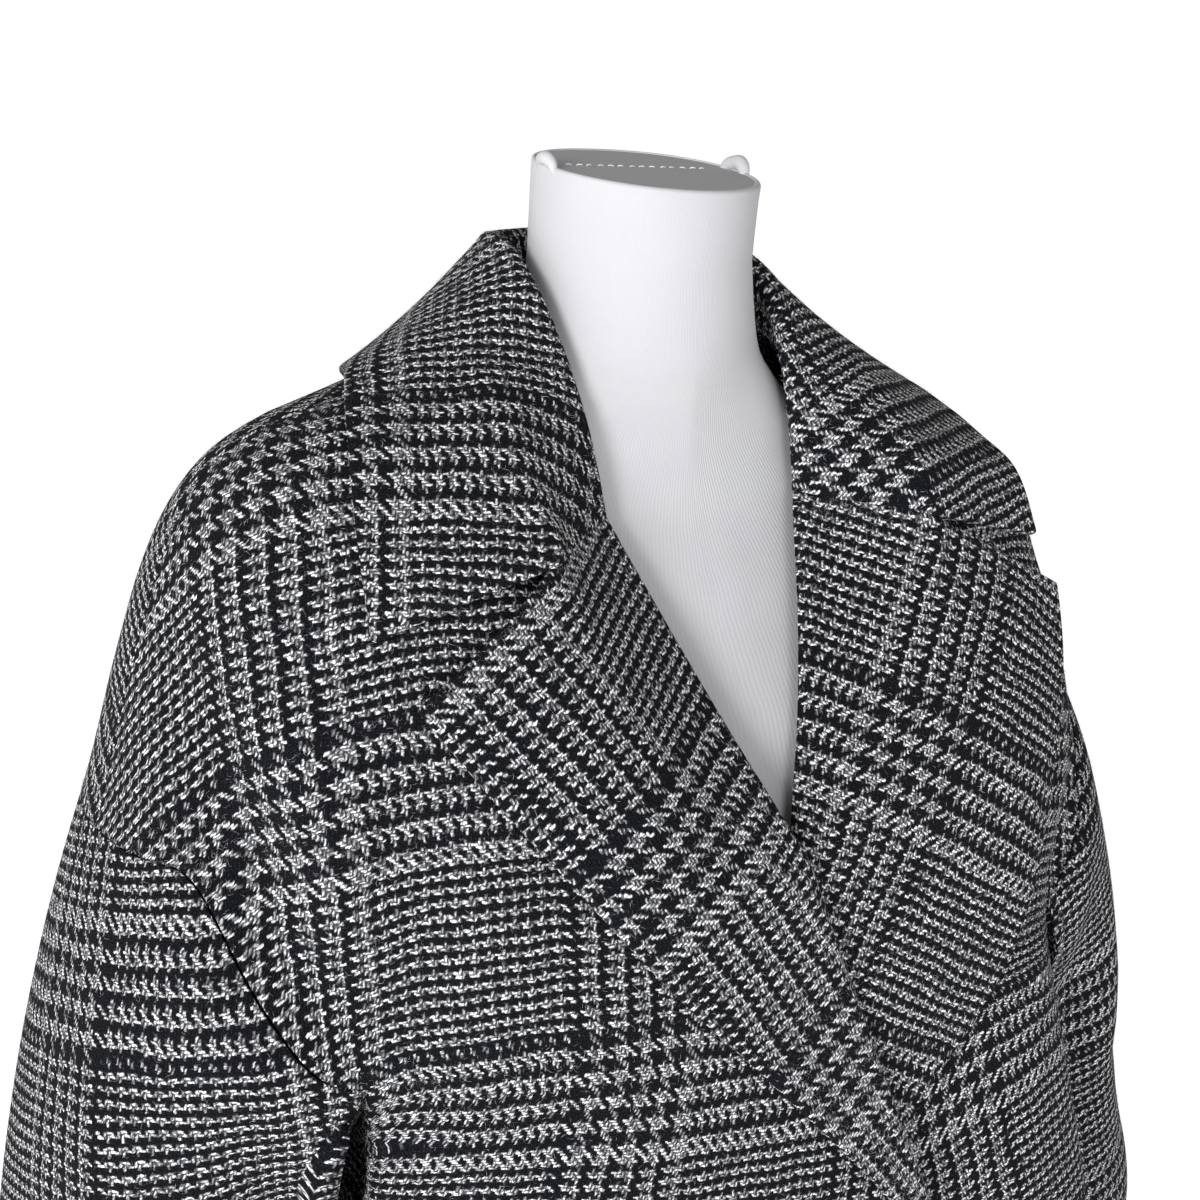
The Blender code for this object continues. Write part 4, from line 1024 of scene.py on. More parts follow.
def level_outward(grid):
    """Level directions out from the body, the same on both sides of a seam, so that it stays shut."""
    way = np.zeros_like(grid)
    way[..., 0] = grid[..., 0] / BODY_REACH[0] ** 2
    way[..., 1] = (grid[..., 1] - MID_Y) / BODY_REACH[1] ** 2
    return way / np.linalg.norm(way, axis=2, keepdims=True)


# Loose fibres

FIBRE_SHARE = 1.0         # fibres for each point of a piece's grid
FIBRE_LENGTHS = (0.0016, 0.0042)
FIBRE_RISES = (0.05, 0.40)                # how far they stand off, as a share of their length
FIBRE_WIDTH = 0.00007

# Materials

PITCH = 0.00158           # from one thread to the next
WIDE_THREADS = 40         # threads of the check's four-and-four part
FINE_THREADS = 56         # threads of its two-and-two part
FAR_START = 9600.0        # keeps thread numbers above 0; 100 repeats of the check
PLY_TURNS = 1.5           # how often a light yarn's dark ply shows along one float
PLY_SLANT = 0.9           # and how far it slants across it
PLY_DARK = 0.22           # brightness where it shows
WARP_LEVEL = 0.62         # the upright yarns lie deeper in the brushed face than the level ones
WEFT_LEVEL = 1.32
# Light yarn: its colour in the painted shade of the gaps between floats, and on a float's crown. Dark
# yarn: bare, and under its pale fibres.
LIGHT_GAP_SHADE = (0.030, 0.031, 0.036, 1.0)
LIGHT_TOP = (0.95, 0.95, 0.96, 1.0)
DARK_LOW = (0.0035, 0.0038, 0.0056, 1.0)
DARK_TOP = (0.036, 0.037, 0.046, 1.0)


class Nodes:
    """Short names for making a material's nodes."""

    def __init__(self, name):
        self.material = bpy.data.materials.new(name)
        self.material.use_nodes = True
        self.tree = self.material.node_tree
        self.shader = self.tree.nodes["Principled BSDF"]

    def add(self, kind, **settings):
        node = self.tree.nodes.new(kind)
        for name, value in settings.items():
            setattr(node, name, value)
        return node

    def feed(self, socket, value):
        if isinstance(value, bpy.types.NodeSocket):
            self.tree.links.new(value, socket)
        else:
            socket.default_value = value

    def maths(self, operation, *values):
        node = self.add("ShaderNodeMath", operation=operation)
        for socket, value in zip(node.inputs, values):
            self.feed(socket, value)
        return node.outputs[0]

    def vector(self, operation, *values):
        node = self.add("ShaderNodeVectorMath", operation=operation)
        for socket, value in zip(node.inputs, values):
            self.feed(socket, value)
        return node.outputs[0]

    def scaled(self, vector, factor):
        node = self.add("ShaderNodeVectorMath", operation="SCALE")
        self.feed(node.inputs[0], vector)
        self.feed(node.inputs["Scale"], factor)
        return node.outputs[0]

    def choose(self, share, first, second):
        """first where share is 0, second where it is 1."""
        node = self.add("ShaderNodeMix", data_type="FLOAT")
        self.feed(node.inputs[0], share)
        self.feed(node.inputs[2], first)
        self.feed(node.inputs[3], second)
        return node.outputs[0]

    def colour_mix(self, share, first, second):
        node = self.add("ShaderNodeMix", data_type="RGBA")
        self.feed(node.inputs[0], share)
        self.feed(node.inputs[6], first)
        self.feed(node.inputs[7], second)
        return node.outputs[2]

    def noise(self, vector, size, detail=2.0, roughness=0.5):
        """Noise whose largest spots are about size metres across."""
        node = self.add("ShaderNodeTexNoise")
        self.feed(node.inputs["Vector"], vector)
        node.inputs["Scale"].default_value = 1.0 / size
        node.inputs["Detail"].default_value = detail
        node.inputs["Roughness"].default_value = roughness
        return node

    def between(self, value, low, high, to_low=0.0, to_high=1.0):
        """A smooth step from to_low to to_high as value goes from low to high."""
        node = self.add("ShaderNodeMapRange", interpolation_type="SMOOTHSTEP")
        self.feed(node.inputs["Value"], value)
        node.inputs["From Min"].default_value = low
        node.inputs["From Max"].default_value = high
        node.inputs["To Min"].default_value = to_low
        node.inputs["To Max"].default_value = to_high
        return node.outputs[0]

    def bump(self, height, distance, strength=1.0):
        node = self.add("ShaderNodeBump")
        node.inputs["Strength"].default_value = strength
        node.inputs["Distance"].default_value = distance
        self.feed(node.inputs["Height"], height)
        self.tree.links.new(node.outputs[0], self.shader.inputs["Normal"])

    def set(self, **values):
        for name, value in values.items():
            self.feed(self.shader.inputs[name.replace("_", " ")], value)


def light_thread(n, number):
    """1 where the thread of this number is a light one, 0 where it is dark."""
    place = n.maths("FLOORED_MODULO", number, float(WIDE_THREADS + FINE_THREADS))
    wide = n.maths("LESS_THAN", place, WIDE_THREADS - 0.5)
    fours = n.maths("LESS_THAN", n.maths("FLOORED_MODULO", place, 8.0), 3.5)
    twos = n.maths("GREATER_THAN", n.maths("FLOORED_MODULO", place, 4.0), 1.5)
    return n.choose(wide, twos, fours)


def wool_check():
    """Glen check in two-and-two twill, of thick marled yarns with a brushed face."""
    n = Nodes("wool_check")
    cloth = n.add("ShaderNodeUVMap", uv_map="cloth").outputs[0]
    slow = n.vector("SUBTRACT", n.noise(cloth, 0.030, 1.0).outputs["Color"], (0.5, 0.5, 0.5))
    quick = n.vector("SUBTRACT", n.noise(cloth, 0.0030, 2.0).outputs["Color"], (0.5, 0.5, 0.5))
    moved = n.vector("ADD", cloth, n.scaled(slow, 0.0050))
    moved = n.vector("ADD", moved, n.scaled(quick, 0.0024))
    threads = n.vector("ADD", n.scaled(moved, 1.0 / PITCH), (FAR_START, FAR_START, 0.0))
    split = n.add("ShaderNodeSeparateXYZ")
    n.feed(split.inputs[0], threads)
    across, along = split.outputs[0], split.outputs[1]
    warp, weft = n.maths("FLOOR", across), n.maths("FLOOR", along)
    in_warp, in_weft = n.maths("FRACT", across), n.maths("FRACT", along)
    step = n.maths("FLOORED_MODULO", n.maths("SUBTRACT", weft, warp), 4.0)
    weft_up = n.maths("GREATER_THAN", step, 1.5)
    warp_run = n.maths("MULTIPLY", n.maths("ADD", step, in_weft), 0.5)
    weft_run = n.maths("MULTIPLY", n.maths("ADD", n.maths("SUBTRACT", 3.0, step), in_warp), 0.5)
    run = n.choose(weft_up, warp_run, weft_run)
    side = n.choose(weft_up, in_warp, in_weft)
    middle = n.maths("SUBTRACT", run, 0.5)
    side = n.maths("ADD", side, n.maths("MULTIPLY", middle, n.choose(weft_up, 0.40, -0.30)))
    off_middle = n.maths("ABSOLUTE", n.maths("SUBTRACT", side, 0.5))
    crown = n.between(off_middle, 0.54, 0.10)
    arch = n.maths("SINE", n.maths("MULTIPLY", run, math.pi))
    arch = n.maths("POWER", n.maths("MAXIMUM", arch, 0.0), 0.6)
    height = n.maths("MULTIPLY", crown, arch)
    light = n.choose(weft_up, light_thread(n, warp), light_thread(n, weft))
    cell = n.add("ShaderNodeTexWhiteNoise", noise_dimensions="2D")
    corner = n.add("ShaderNodeCombineXYZ")
    n.feed(corner.inputs[0], warp)
    n.feed(corner.inputs[1], weft)
    n.feed(cell.inputs["Vector"], corner.outputs[0])
    fibre = n.noise(cloth, 0.00060, 3.0, 0.70).outputs["Fac"]
    marl = n.noise(cloth, 0.0032, 2.0, 0.6).outputs["Fac"]
    turns = n.maths("ADD", n.maths("MULTIPLY", run, PLY_TURNS), n.maths("MULTIPLY", side, PLY_SLANT))
    turns = n.maths("ADD", turns, n.maths("MULTIPLY", marl, 3.0))
    ply = n.maths("PINGPONG", turns, 0.5)
    ply = n.between(ply, 0.08, 0.36, PLY_DARK, 1.0)
    worn = n.between(marl, 0.34, 0.66, 0.50, 1.10)
    speck = n.between(fibre, 0.36, 0.64, 0.40, 1.30)
    # The light yarn darkens towards each float's edges and ends, painted shade in the gaps between
    # yarns; the same height also drives the bump.
    brightness_with_gap_shade = n.maths("MULTIPLY", n.maths("POWER", height, 1.3), n.maths("MULTIPLY", worn, speck))
    brightness_with_gap_shade = n.maths("MULTIPLY", brightness_with_gap_shade, ply)
    brightness_with_gap_shade = n.maths("MULTIPLY", brightness_with_gap_shade, n.between(cell.outputs["Value"], 0.0, 0.9, 0.55, 2.3))
    brightness_with_gap_shade = n.maths("MULTIPLY", brightness_with_gap_shade, n.choose(weft_up, WARP_LEVEL, WEFT_LEVEL))
    pale = n.colour_mix(brightness_with_gap_shade, LIGHT_GAP_SHADE, LIGHT_TOP)
    # The dark yarn's pale fibres are real, but they are also thinned towards the float edges as painted
    # shade in the gaps.
    fuzz = n.maths("MULTIPLY", n.between(fibre, 0.46, 0.72), n.maths("ADD", 0.25, height))
    deep = n.colour_mix(fuzz, DARK_LOW, DARK_TOP)
    n.set(Base_Color=n.colour_mix(light, deep, pale), Roughness=0.95, Sheen_Weight=0.01,
          Sheen_Roughness=0.5, Specular_IOR_Level=0.05)
    n.shader.inputs["Sheen Tint"].default_value = (0.80, 0.80, 0.84, 1.0)
    relief = n.maths("ADD", height, n.maths("MULTIPLY", fibre, 0.45))
    n.bump(relief, 0.00060, 0.9)
    return n.material


def loose_fibre():
    """Single wool hairs, pale to dark grey."""
    n = Nodes("wool_fibre")
    place = n.add("ShaderNodeTexCoord").outputs["Object"]
    tone = n.noise(place, 0.003, 2.0).outputs["Fac"]
    n.set(Base_Color=n.colour_mix(n.between(tone, 0.38, 0.62), (0.03, 0.031, 0.036, 1.0),
                                  (0.55, 0.55, 0.57, 1.0)),
          Roughness=0.8, Specular_IOR_Level=0.1)
    return n.material


def jersey():
    """Fine white cotton knit: upright wales of small stitches."""
    n = Nodes("white_jersey")
    cloth = n.add("ShaderNodeUVMap", uv_map="cloth").outputs[0]
    split = n.add("ShaderNodeSeparateXYZ")
    n.feed(split.inputs[0], n.vector("ADD", cloth, n.scaled(n.noise(cloth, 0.02).outputs["Color"],
                                                            0.0010)))
    wale = n.maths("PINGPONG", n.maths("DIVIDE", split.outputs[0], 0.00075), 0.5)
    row = n.maths("ADD", n.maths("DIVIDE", split.outputs[1], 0.00060), n.maths("MULTIPLY", wale, 1.2))
    stitch = n.maths("PINGPONG", row, 0.5)
    knit = n.maths("ADD", n.maths("MULTIPLY", wale, 1.3), n.maths("MULTIPLY", stitch, 0.7))
    cloud = n.noise(cloth, 0.05, 3.0).outputs["Fac"]
    tone = n.maths("ADD", n.maths("MULTIPLY", knit, 0.42), n.maths("MULTIPLY", cloud, 0.3))
    n.set(Base_Color=n.colour_mix(tone, (0.46, 0.46, 0.485, 1.0), (0.59, 0.59, 0.605, 1.0)),
          Roughness=0.9, Sheen_Weight=0.04, Specular_IOR_Level=0.15)
    n.bump(knit, 0.00022, 0.6)
    return n.material


def cap_cloth():
    """Smooth grey board under the form's neck cap."""
    n = Nodes("grey_cap")
    place = n.add("ShaderNodeTexCoord").outputs["Object"]
    grain = n.noise(place, 0.0016, 4.0).outputs["Fac"]
    n.set(Base_Color=n.colour_mix(grain, (0.350, 0.352, 0.356, 1.0), (0.390, 0.392, 0.396, 1.0)),
          Roughness=0.8)
    n.bump(grain, 0.0001, 0.3)
    return n.material


def button_horn():
    """Black horn: a dark body with faint grey streaks and a soft polish."""
    n = Nodes("black_horn")
    place = n.add("ShaderNodeTexCoord").outputs["Object"]
    stretched = n.vector("MULTIPLY", place, (1.0, 1.0, 0.25))
    streak = n.noise(stretched, 0.006, 4.0, 0.65).outputs["Fac"]
    n.set(Base_Color=n.colour_mix(n.between(streak, 0.45, 0.75), (0.012, 0.012, 0.013, 1.0),
                                  (0.055, 0.052, 0.050, 1.0)),
          Roughness=n.between(streak, 0.2, 0.8, 0.28, 0.44))
    n.bump(n.noise(place, 0.0012, 3.0).outputs["Fac"], 0.00006, 0.4)
    return n.material


def white_steel():
    """White powder coat with its fine orange peel."""
    n = Nodes("white_steel")
    place = n.add("ShaderNodeTexCoord").outputs["Object"]
    peel = n.noise(place, 0.0022, 2.0).outputs["Fac"]
    dust = n.noise(place, 0.06, 3.0).outputs["Fac"]
    n.set(Base_Color=n.colour_mix(dust, (0.62, 0.62, 0.62, 1.0), (0.72, 0.72, 0.72, 1.0)),
          Roughness=n.between(dust, 0.3, 0.7, 0.30, 0.42), Metallic=0.0)
    n.bump(peel, 0.00012, 0.5)
    return n.material


def thread_cotton():
    """White twisted sewing thread."""
    n = Nodes("white_thread")
    place = n.add("ShaderNodeTexCoord").outputs["Object"]
    twist = n.noise(place, 0.0004, 2.0).outputs["Fac"]
    n.set(Base_Color=n.colour_mix(twist, (0.62, 0.62, 0.64, 1.0), (0.82, 0.82, 0.84, 1.0)),
          Roughness=0.8)
    n.bump(twist, 0.0001, 0.6)
    return n.material


def floor_paint():
    """Nearly white paint that glows a little, so that it meets the white surround."""
    n = Nodes("studio_floor")
    place = n.add("ShaderNodeTexCoord").outputs["Object"]
    grain = n.noise(place, 0.4, 2.0).outputs["Fac"]
    n.set(Base_Color=n.colour_mix(grain, (0.86, 0.86, 0.86, 1.0), (0.88, 0.88, 0.88, 1.0)),
          Roughness=0.9, Emission_Color=(1.0, 1.0, 1.0, 1.0), Emission_Strength=FLOOR_GLOW)
    return n.material


# The coat

FRONT_ACROSS = 92         # points across each piece's rows, and along the lapels and collar
BACK_ACROSS = 72
LAPEL_GRID = (96, 44)
COLLAR_GRID = (88, 48)

# How each piece is laid on the cloth: turned by degrees and shifted across and along it; past
# bow_from its rows bow down, as cloth does over a shoulder
NO_BOW = 9.0              # a place past every piece
GRAIN_COLUMNS = ("degrees", "across", "along", "bow_from", "bow")
GRAIN = {
    "front_right": (-7.0, -0.0040, -0.0122, 0.150, 1.50),
    "front_left": (-7.0, 0.0000, 0.0360, 0.150, 1.50),
    "back": (0.0, 0.0000, 0.0000, NO_BOW, 0.0),
    "sleeve_right": (14.0, 0.0515, 0.0467, NO_BOW, 0.0),
    "sleeve_left": (-8.0, 0.0000, 0.0581, NO_BOW, 0.0),
    "lapel_right": (17.0, 0.0392, 0.0698, NO_BOW, 0.0),
    "lapel_left": (12.0, 0.0307, 0.0509, NO_BOW, 0.0),
    "collar": (4.0, 0.0699, -0.0520, NO_BOW, 0.0),
}


def add_fuzz(name, grid, normal, made, seed):
    """Loose fibres of the brushed face: thin bent blades that stand off it by a millimetre or so."""
    rng = np.random.default_rng(seed)
    rows, columns = grid.shape[:2]
    count = int(rows * columns * FIBRE_SHARE)
    r = rng.uniform(0.0, rows - 1.001, count)
    c = rng.uniform(0.0, columns - 1.001, count)
    ri, ci = r.astype(int), c.astype(int)
    down, across = (r - ri)[:, None], (c - ci)[:, None]

    def at(values):
        upper = values[ri, ci] * (1.0 - across) + values[ri, ci + 1] * across
        lower = values[ri + 1, ci] * (1.0 - across) + values[ri + 1, ci + 1] * across
        return upper * (1.0 - down) + lower * down

    place, off = at(grid), at(normal)
    off /= np.linalg.norm(off, axis=1)[:, None]
    way = rng.normal(size=(count, 3))
    way -= off * (way * off).sum(axis=1)[:, None]
    way /= np.linalg.norm(way, axis=1)[:, None]
    side = np.cross(off, way)
    length = rng.uniform(*FIBRE_LENGTHS, (count, 1))
    rise = length * rng.uniform(*FIBRE_RISES, (count, 1))
    bend = length * rng.uniform(-0.25, 0.25, (count, 1))
    middle = place + way * length * 0.5 + off * rise + side * bend
    end = place + way * length + off * rise * rng.uniform(0.2, 1.1, (count, 1))
    half = FIBRE_WIDTH / 2.0
    tilt = (side + off * rng.uniform(-1.0, 1.0, (count, 1))) * half
    points = np.stack([place - tilt, place + tilt, middle + tilt, middle - tilt, end], axis=1)
    first = np.arange(count)[:, None] * 5
    faces = (first + [0, 1, 2, 3]).tolist() + (first + [3, 2, 4]).tolist()
    data = bpy.data.meshes.new(name + "_fuzz")
    data.from_pydata(points.reshape(-1, 3).tolist(), [], faces)
    data.materials.append(made)
    item = bpy.data.objects.new(name + "_fuzz", data)
    bpy.context.scene.collection.objects.link(item)
    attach(item, "root")


def finish_cloth(name, grid, thickness, looks, start=0.0, closed=False, flip=True):
    """start is where its rows begin across the flat piece, one value or one for each row.
    """
    made, fibres = looks
    start = np.broadcast_to(start, len(grid))
    open_grid = np.concatenate([grid, grid[:, :1]], axis=1) if closed else grid
    flat = flatten(open_grid, start)
    flat = turned(flat, **dict(zip(GRAIN_COLUMNS, GRAIN[name])))
    grid = crease(grid, level_outward(grid), CREASES["coat"])
    own = CREASES.get(name.partition("_")[0], ())
    grid = crease(grid, surface_normals(grid, closed, flip), own)
    item = shell(name + "_cloth", grid, flat, thickness, closed, flip)
    add_fuzz(name, grid, surface_normals(grid, closed, flip), fibres, len(name))
    item.data.materials.append(made)
    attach(item, "root")
    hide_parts(name)


def make_coat():
    looks = (wool_check(), loose_fibre())
    for side, name in ((RIGHT, "right"), (LEFT, "left")):
        flip = side == RIGHT
        grid = front_grid(side, FRONT_ACROSS)
        finish_cloth("front_" + name, grid, CLOTH, looks,
                     start=side * grid[:, 0, 0], flip=flip)
        finish_cloth("sleeve_" + name, sleeve_grid(side), CLOTH, looks, closed=True,
                     flip=flip)
        finish_cloth("lapel_" + name, lapel_grid(side, *LAPEL_GRID), FACED, looks,
                     flip=flip)
    finish_cloth("back", back_grid(BACK_ACROSS), CLOTH, looks)
    finish_cloth("collar", collar_grid(*COLLAR_GRID), FACED, looks)


# The dress form and its stand

RIM_ROUND = 0.0018        # radius of the jersey's rim round the cap
CAP_SINK = 0.0007         # the cap lies this far below the top of that rim
CAP_RINGS = 12
FORM_GRID = (128, 110)    # points round the form and rings down it
RIM_TURNS = (120.0, 0.0)  # degrees of the rim, from under the cap's edge out to the neck
RIM_POINTS = 8
STITCH_LENGTH = 0.0034    # the white stitches across the cap
STITCH_STEP = 0.0058
STITCH_RADIUS = 0.00032
STITCH_BACK = 0.004       # their line lies this far behind the cap's middle
STITCH_MARGIN = 0.011     # from the cap's edge to the first stitch
STITCH_SHAPE = ((0.0, -0.0003), (0.2, 0.0003), (0.5, 0.0004), (0.8, 0.0003), (1.0, -0.0003))
STITCH_TAPER = (0.6, 1.0, 1.1, 1.0, 0.6)
EAR_RADIUS = 0.0030       # the pinched ends of the jersey's seam, beside the cap
EAR_INSET, EAR_BEHIND = 0.0012, 0.002
EAR_SIZES = {RIGHT: 1.0, LEFT: 1.15}
EAR_POINTS, EAR_SIDES = 22, 14
EAR_COLUMNS = ("along", "in", "up", "thick")
EAR = (
    (-0.0075, 0.0005, -0.0040, 0.5),
    (-0.0055, 0.0000, 0.0008, 0.9),
    (-0.0010, -0.0006, 0.0032, 1.1),
    (0.0040, 0.0002, 0.0026, 1.0),
    (0.0072, 0.0014, -0.0002, 0.8),
    (0.0080, 0.0026, -0.0040, 0.5),
)


def plain_object(name, mesh, made):
    data = bpy.data.meshes.new(name)
    mesh.to_mesh(data)
    mesh.free()
    data.shade_smooth()
    data.materials.append(made)
    item = bpy.data.objects.new(name, data)
    bpy.context.scene.collection.objects.link(item)
    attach(item, "root")
    return item


def form_flat(rings):
    """Flat coordinates of the jersey: round each ring, and down the form."""
    closed = np.concatenate([rings, rings[:, :1]], axis=1)
    round_step = np.linalg.norm(np.diff(closed, axis=1), axis=2).mean(axis=1)
    u = np.arange(closed.shape[1])[None, :] * float(round_step[:20].mean())
    down = np.linalg.norm(np.diff(closed, axis=0), axis=2).mean(axis=1)
    v = np.concatenate([[0.0], np.cumsum(down)])[:, None]
    return np.stack(np.broadcast_arrays(u, v), axis=2)


def tube(mesh, path, radii, sides=10):
    """A round closed tube along a path, added to a mesh."""
    path = np.array(path, dtype=float)
    ways = np.gradient(path, axis=0)
    rings = []
    for place, way, radius in zip(path, ways, radii):
        way = way / np.linalg.norm(way)
        first = np.cross(way, (0.31, 0.17, 0.93))
        first /= np.linalg.norm(first)
        second = np.cross(way, first)
        ring = []
        for turn in np.linspace(0.0, 2.0 * math.pi, sides, endpoint=False):
            ring.append(mesh.verts.new(place + radius * (first * math.cos(turn)
                                                         + second * math.sin(turn))))
        rings.append(ring)
    for near, far in zip(rings[:-1], rings[1:]):
        for i in range(sides):
            n = (i + 1) % sides
            mesh.faces.new((near[i], near[n], far[n], far[i]))
    mesh.faces.new(rings[0][::-1])
    mesh.faces.new(rings[-1])


def smooth_rows(rows, names, count):
    """count rows on soft curves through a table's rows."""
    at = np.linspace(0.0, len(rows) - 1.0, count)
    numbered = np.concatenate([np.arange(len(rows))[:, None], np.array(rows)], axis=1)
    columns = ("number",) + names
    return np.stack([column(numbered, columns, name, at) for name in names], axis=1)


def make_cap(top):
    """The grey board that closes the form's neck, with a line of stitches across it."""
    middle = top.mean(axis=0)
    mesh = bmesh.new()
    rows = []
    for share in np.linspace(1.0, 0.0, CAP_RINGS, endpoint=False):
        ring = middle + (top - middle) * share
        ring[:, 2] -= CAP_SINK * (1.0 - 0.5 * (1.0 - share))
        rows.append([mesh.verts.new(p) for p in ring])
    for near, far in zip(rows[:-1], rows[1:]):
        for i in range(len(near)):
            n = (i + 1) % len(near)
            mesh.faces.new((near[i], near[n], far[n], far[i]))
    mesh.faces.new(rows[-1])
    bmesh.ops.recalc_face_normals(mesh, faces=mesh.faces)
    if sum(face.normal.z for face in mesh.faces) < 0.0:
        bmesh.ops.reverse_faces(mesh, faces=mesh.faces)
    plain_object("form_cap", mesh, cap_cloth())

    mesh = bmesh.new()
    right, left = top[np.argmin(top[:, 0])], top[np.argmax(top[:, 0])]
    span = left - right
    length = float(np.linalg.norm(span))
    way = span / length
    count = int((length - 2.0 * STITCH_MARGIN) / STITCH_STEP)
    for i in range(count):
        start = STITCH_MARGIN + i * STITCH_STEP + 0.0004 * math.sin(2.3 * i)
        path = []
        for share, rise in STITCH_SHAPE:
            place = right + way * (start + STITCH_LENGTH * share)
            place = place + np.array([0.0, STITCH_BACK + 0.0003 * math.sin(1.7 * i + 4.0 * share),
                                      rise + STITCH_BACK * CAP_SLANT[1] - 0.6 * CAP_SINK])
            path.append(place)
        tube(mesh, path, [STITCH_RADIUS * k for k in STITCH_TAPER], 6)
    plain_object("form_cap_stitches", mesh, thread_cotton())


def make_ears(top, made):
    """The two puckered ends of the jersey's seam, standing up a little beside the cap."""
    mesh = bmesh.new()
    path = smooth_rows(EAR, EAR_COLUMNS, EAR_POINTS)
    for side, size in EAR_SIZES.items():
        place = top[int(np.argmax(side * top[:, 0]))]
        points = [place + size * np.array([-side * (inward + EAR_INSET), along + EAR_BEHIND, up])
                  for along, inward, up, _ in path]
        tube(mesh, points, [size * EAR_RADIUS * thick for *_, thick in path], EAR_SIDES)
    plain_object("form_seam_ends", mesh, made)


def make_form():
    """The padded torso in its jersey, with the grey cap, its stitched seam and the seam's ends."""
    knit = jersey()
    rings = np.array(form_rings(*FORM_GRID))
    top = rings[0]
    middle = top.mean(axis=0)
    rim = []
    for turn in np.linspace(*RIM_TURNS, RIM_POINTS):
        arc = math.radians(turn)
        inset = RIM_ROUND * (1.0 - math.cos(arc))
        ring = top + (middle - top) * (inset / np.linalg.norm(top - middle, axis=1))[:, None]
        ring[:, 2] += RIM_ROUND * (math.sin(arc) - 1.0)
        rim.append(ring)
    under = rim[0] - np.array([0.0, 0.0, 3.0 * CAP_SINK])
    rings = np.concatenate([[under], np.array(rim), rings[1:]])
    rings = crease(rings, surface_normals(rings, True, True), CREASES["form"])
    flat = form_flat(rings)
    faces = quads(rings.shape[0], rings.shape[1], True, 0, True)
    corners = corner_values(flat, True)
    data = cloth_mesh("form_cover", rings.reshape(-1, 3), faces, corners)
    mesh = bmesh.new()
    mesh.from_mesh(data)
    ends = [e for e in mesh.edges if e.is_boundary]
    bmesh.ops.holes_fill(mesh, edges=ends)
    cover = plain_object("form_cover", mesh, knit)
    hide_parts("dress_form")
    make_cap(rim[2])
    make_ears(top, knit)


def make_details():
    """Better finishes on the solids that keep their shape."""
    finishes = {"stand": white_steel(), "button": button_horn()}
    for name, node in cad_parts.items():
        made = finishes.get(name.partition("_")[0])
        if made:
            node.data.materials.clear()
            node.data.materials.append(made)


# Floor, light and camera

FLOOR_GLOW = 0.66
FLOOR_HALF = 30.0
SURROUND_LIGHT = 1.02
# The white surround is dimmer towards the wearer's left front and overhead
SHADE_COLUMNS = ("towards", "start", "end", "weakest")
SURROUND_SHADES = (
    ((0.86, -0.50, 0.10), 0.30, 0.95, 0.15),
    ((0.0, 0.0, 1.0), 0.25, 0.90, 0.20),
)
LIGHT_COLUMNS = ("name", "place", "target", "size", "power")
LIGHTS = (
    ("key", (-2.8, -1.9, 2.0), (0.0, 0.0, 1.25), 1.2, 90.0),
    ("front", (-0.9, -3.2, 1.7), (0.0, 0.0, 1.2), 1.2, 28.0),
)
CAMERA_AZIMUTH = -31.5    # degrees round from straight in front, towards the wearer's right
CAMERA_AWAY = 0.996       # level distance from the neck's axis
CAMERA_RISE = 0.136       # above the neck point
CAMERA_PITCH = 16.2       # degrees down
CAMERA_YAW = 1.1          # degrees off that axis, which puts the neck right of the middle
CAMERA_LENS = 60.75       # for a sensor 36 mm wide
CAMERA_SENSOR = 36.0
CAMERA_NEAR = 0.02


def aim(item, way):
    item.rotation_mode = "QUATERNION"
    item.rotation_quaternion = Vector(way).to_track_quat("-Z", "Y")


def make_camera():
    data = bpy.data.cameras.new("camera")
    data.lens = CAMERA_LENS
    data.sensor_width = CAMERA_SENSOR
    data.clip_start = CAMERA_NEAR
    item = bpy.data.objects.new("camera", data)
    bpy.context.scene.collection.objects.link(item)
    arc = math.radians(CAMERA_AZIMUTH)
    item.location = (CAMERA_AWAY * math.sin(arc), -CAMERA_AWAY * math.cos(arc),
                     NECK_POINT + CAMERA_RISE)
    heading = arc + math.radians(CAMERA_YAW)
    pitch = math.radians(CAMERA_PITCH)
    aim(item, (-math.sin(heading) * math.cos(pitch), math.cos(heading) * math.cos(pitch),
               -math.sin(pitch)))
    bpy.context.scene.camera = item


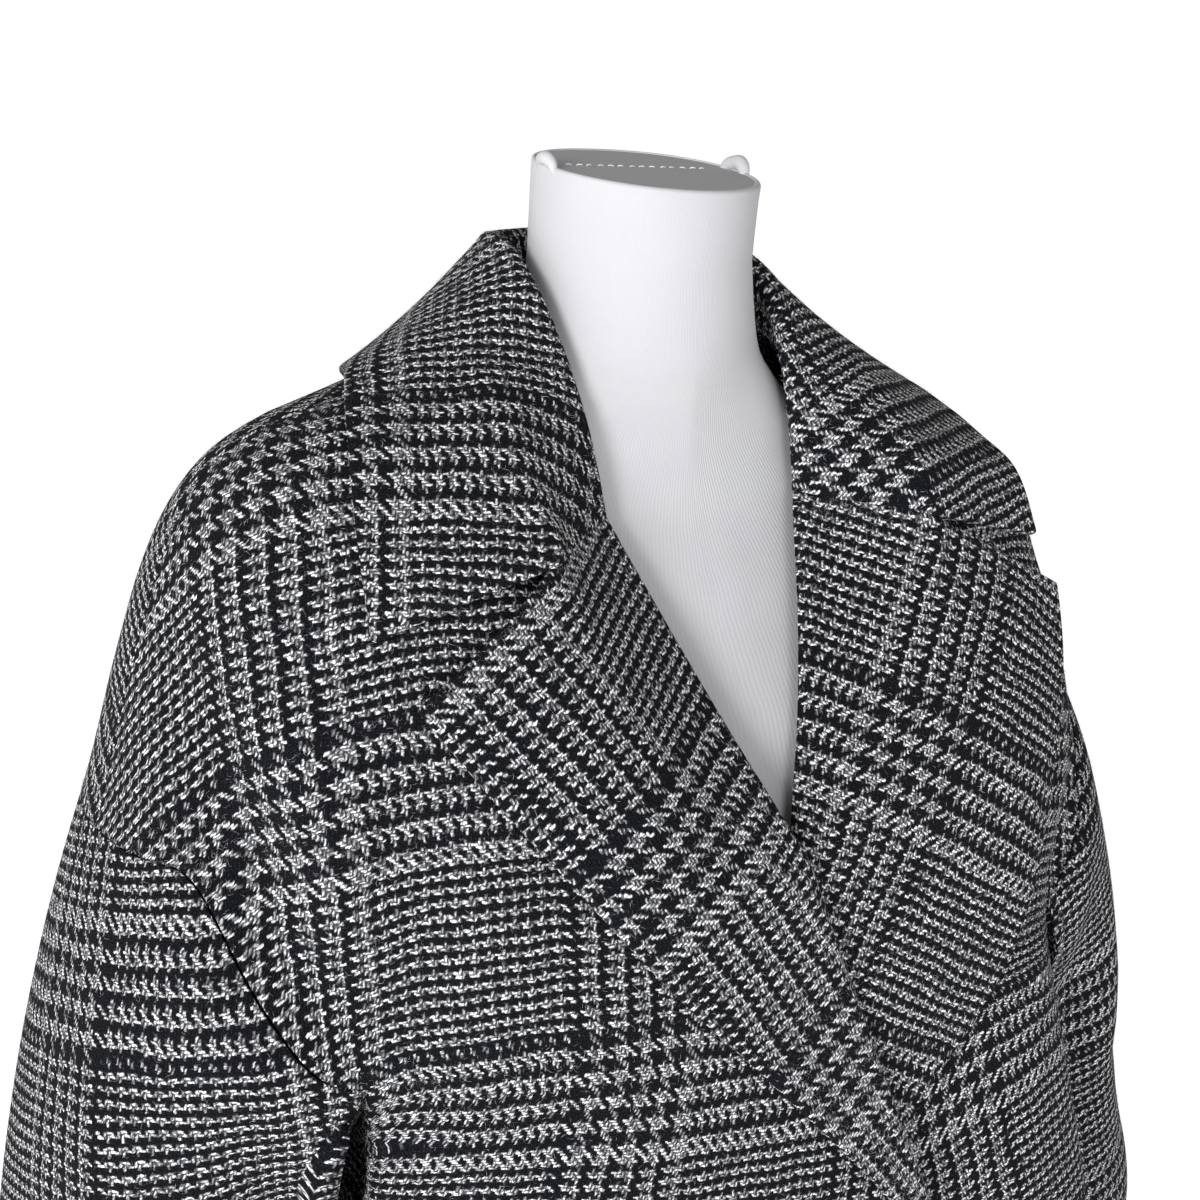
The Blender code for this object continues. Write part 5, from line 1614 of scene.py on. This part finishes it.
def area_light(name, place, target, size, power):
    data = bpy.data.lights.new(name, "AREA")
    data.shape = "DISK"
    data.size = size
    data.energy = power
    item = bpy.data.objects.new(name, data)
    bpy.context.scene.collection.objects.link(item)
    item.location = place
    aim(item, Vector(target) - Vector(place))


def dimmed(tree, way):
    """The surround's strength along a way: full, but for its two dimmer parts."""
    strength = None
    for row in SURROUND_SHADES:
        shade = dict(zip(SHADE_COLUMNS, row))
        facing = tree.nodes.new("ShaderNodeVectorMath")
        facing.operation = "DOT_PRODUCT"
        tree.links.new(way, facing.inputs[0])
        facing.inputs[1].default_value = shade["towards"]
        fade = tree.nodes.new("ShaderNodeMapRange")
        fade.interpolation_type = "SMOOTHSTEP"
        tree.links.new(facing.outputs["Value"], fade.inputs["Value"])
        fade.inputs["From Min"].default_value = shade["start"]
        fade.inputs["From Max"].default_value = shade["end"]
        fade.inputs["To Min"].default_value = SURROUND_LIGHT
        fade.inputs["To Max"].default_value = shade["weakest"]
        if strength is None:
            strength = fade.outputs[0]
            continue
        both = tree.nodes.new("ShaderNodeMath")
        both.operation = "MULTIPLY"
        tree.links.new(strength, both.inputs[0])
        tree.links.new(fade.outputs[0], both.inputs[1])
        strength = both.outputs[0]
    return strength


def make_stage():
    """A pale floor, a white surround that is dimmer on two sides, and two soft lights."""
    mesh = bmesh.new()
    bmesh.ops.create_grid(mesh, x_segments=8, y_segments=8, size=FLOOR_HALF)
    data = bpy.data.meshes.new("floor")
    mesh.to_mesh(data)
    mesh.free()
    data.materials.append(floor_paint())
    floor = bpy.data.objects.new("floor", data)
    bpy.context.scene.collection.objects.link(floor)
    world = bpy.data.worlds.new("studio")
    bpy.context.scene.world = world
    world.use_nodes = True
    tree = world.node_tree
    surround = tree.nodes["Background"]
    surround.inputs["Color"].default_value = (1.0, 1.0, 1.0, 1.0)
    way = tree.nodes.new("ShaderNodeTexCoord").outputs["Generated"]
    tree.links.new(dimmed(tree, way), surround.inputs["Strength"])
    for row in LIGHTS:
        area_light(**dict(zip(LIGHT_COLUMNS, row)))
    bpy.context.scene.view_settings.view_transform = "Standard"


make_coat()
make_form()
make_details()
make_stage()
make_camera()
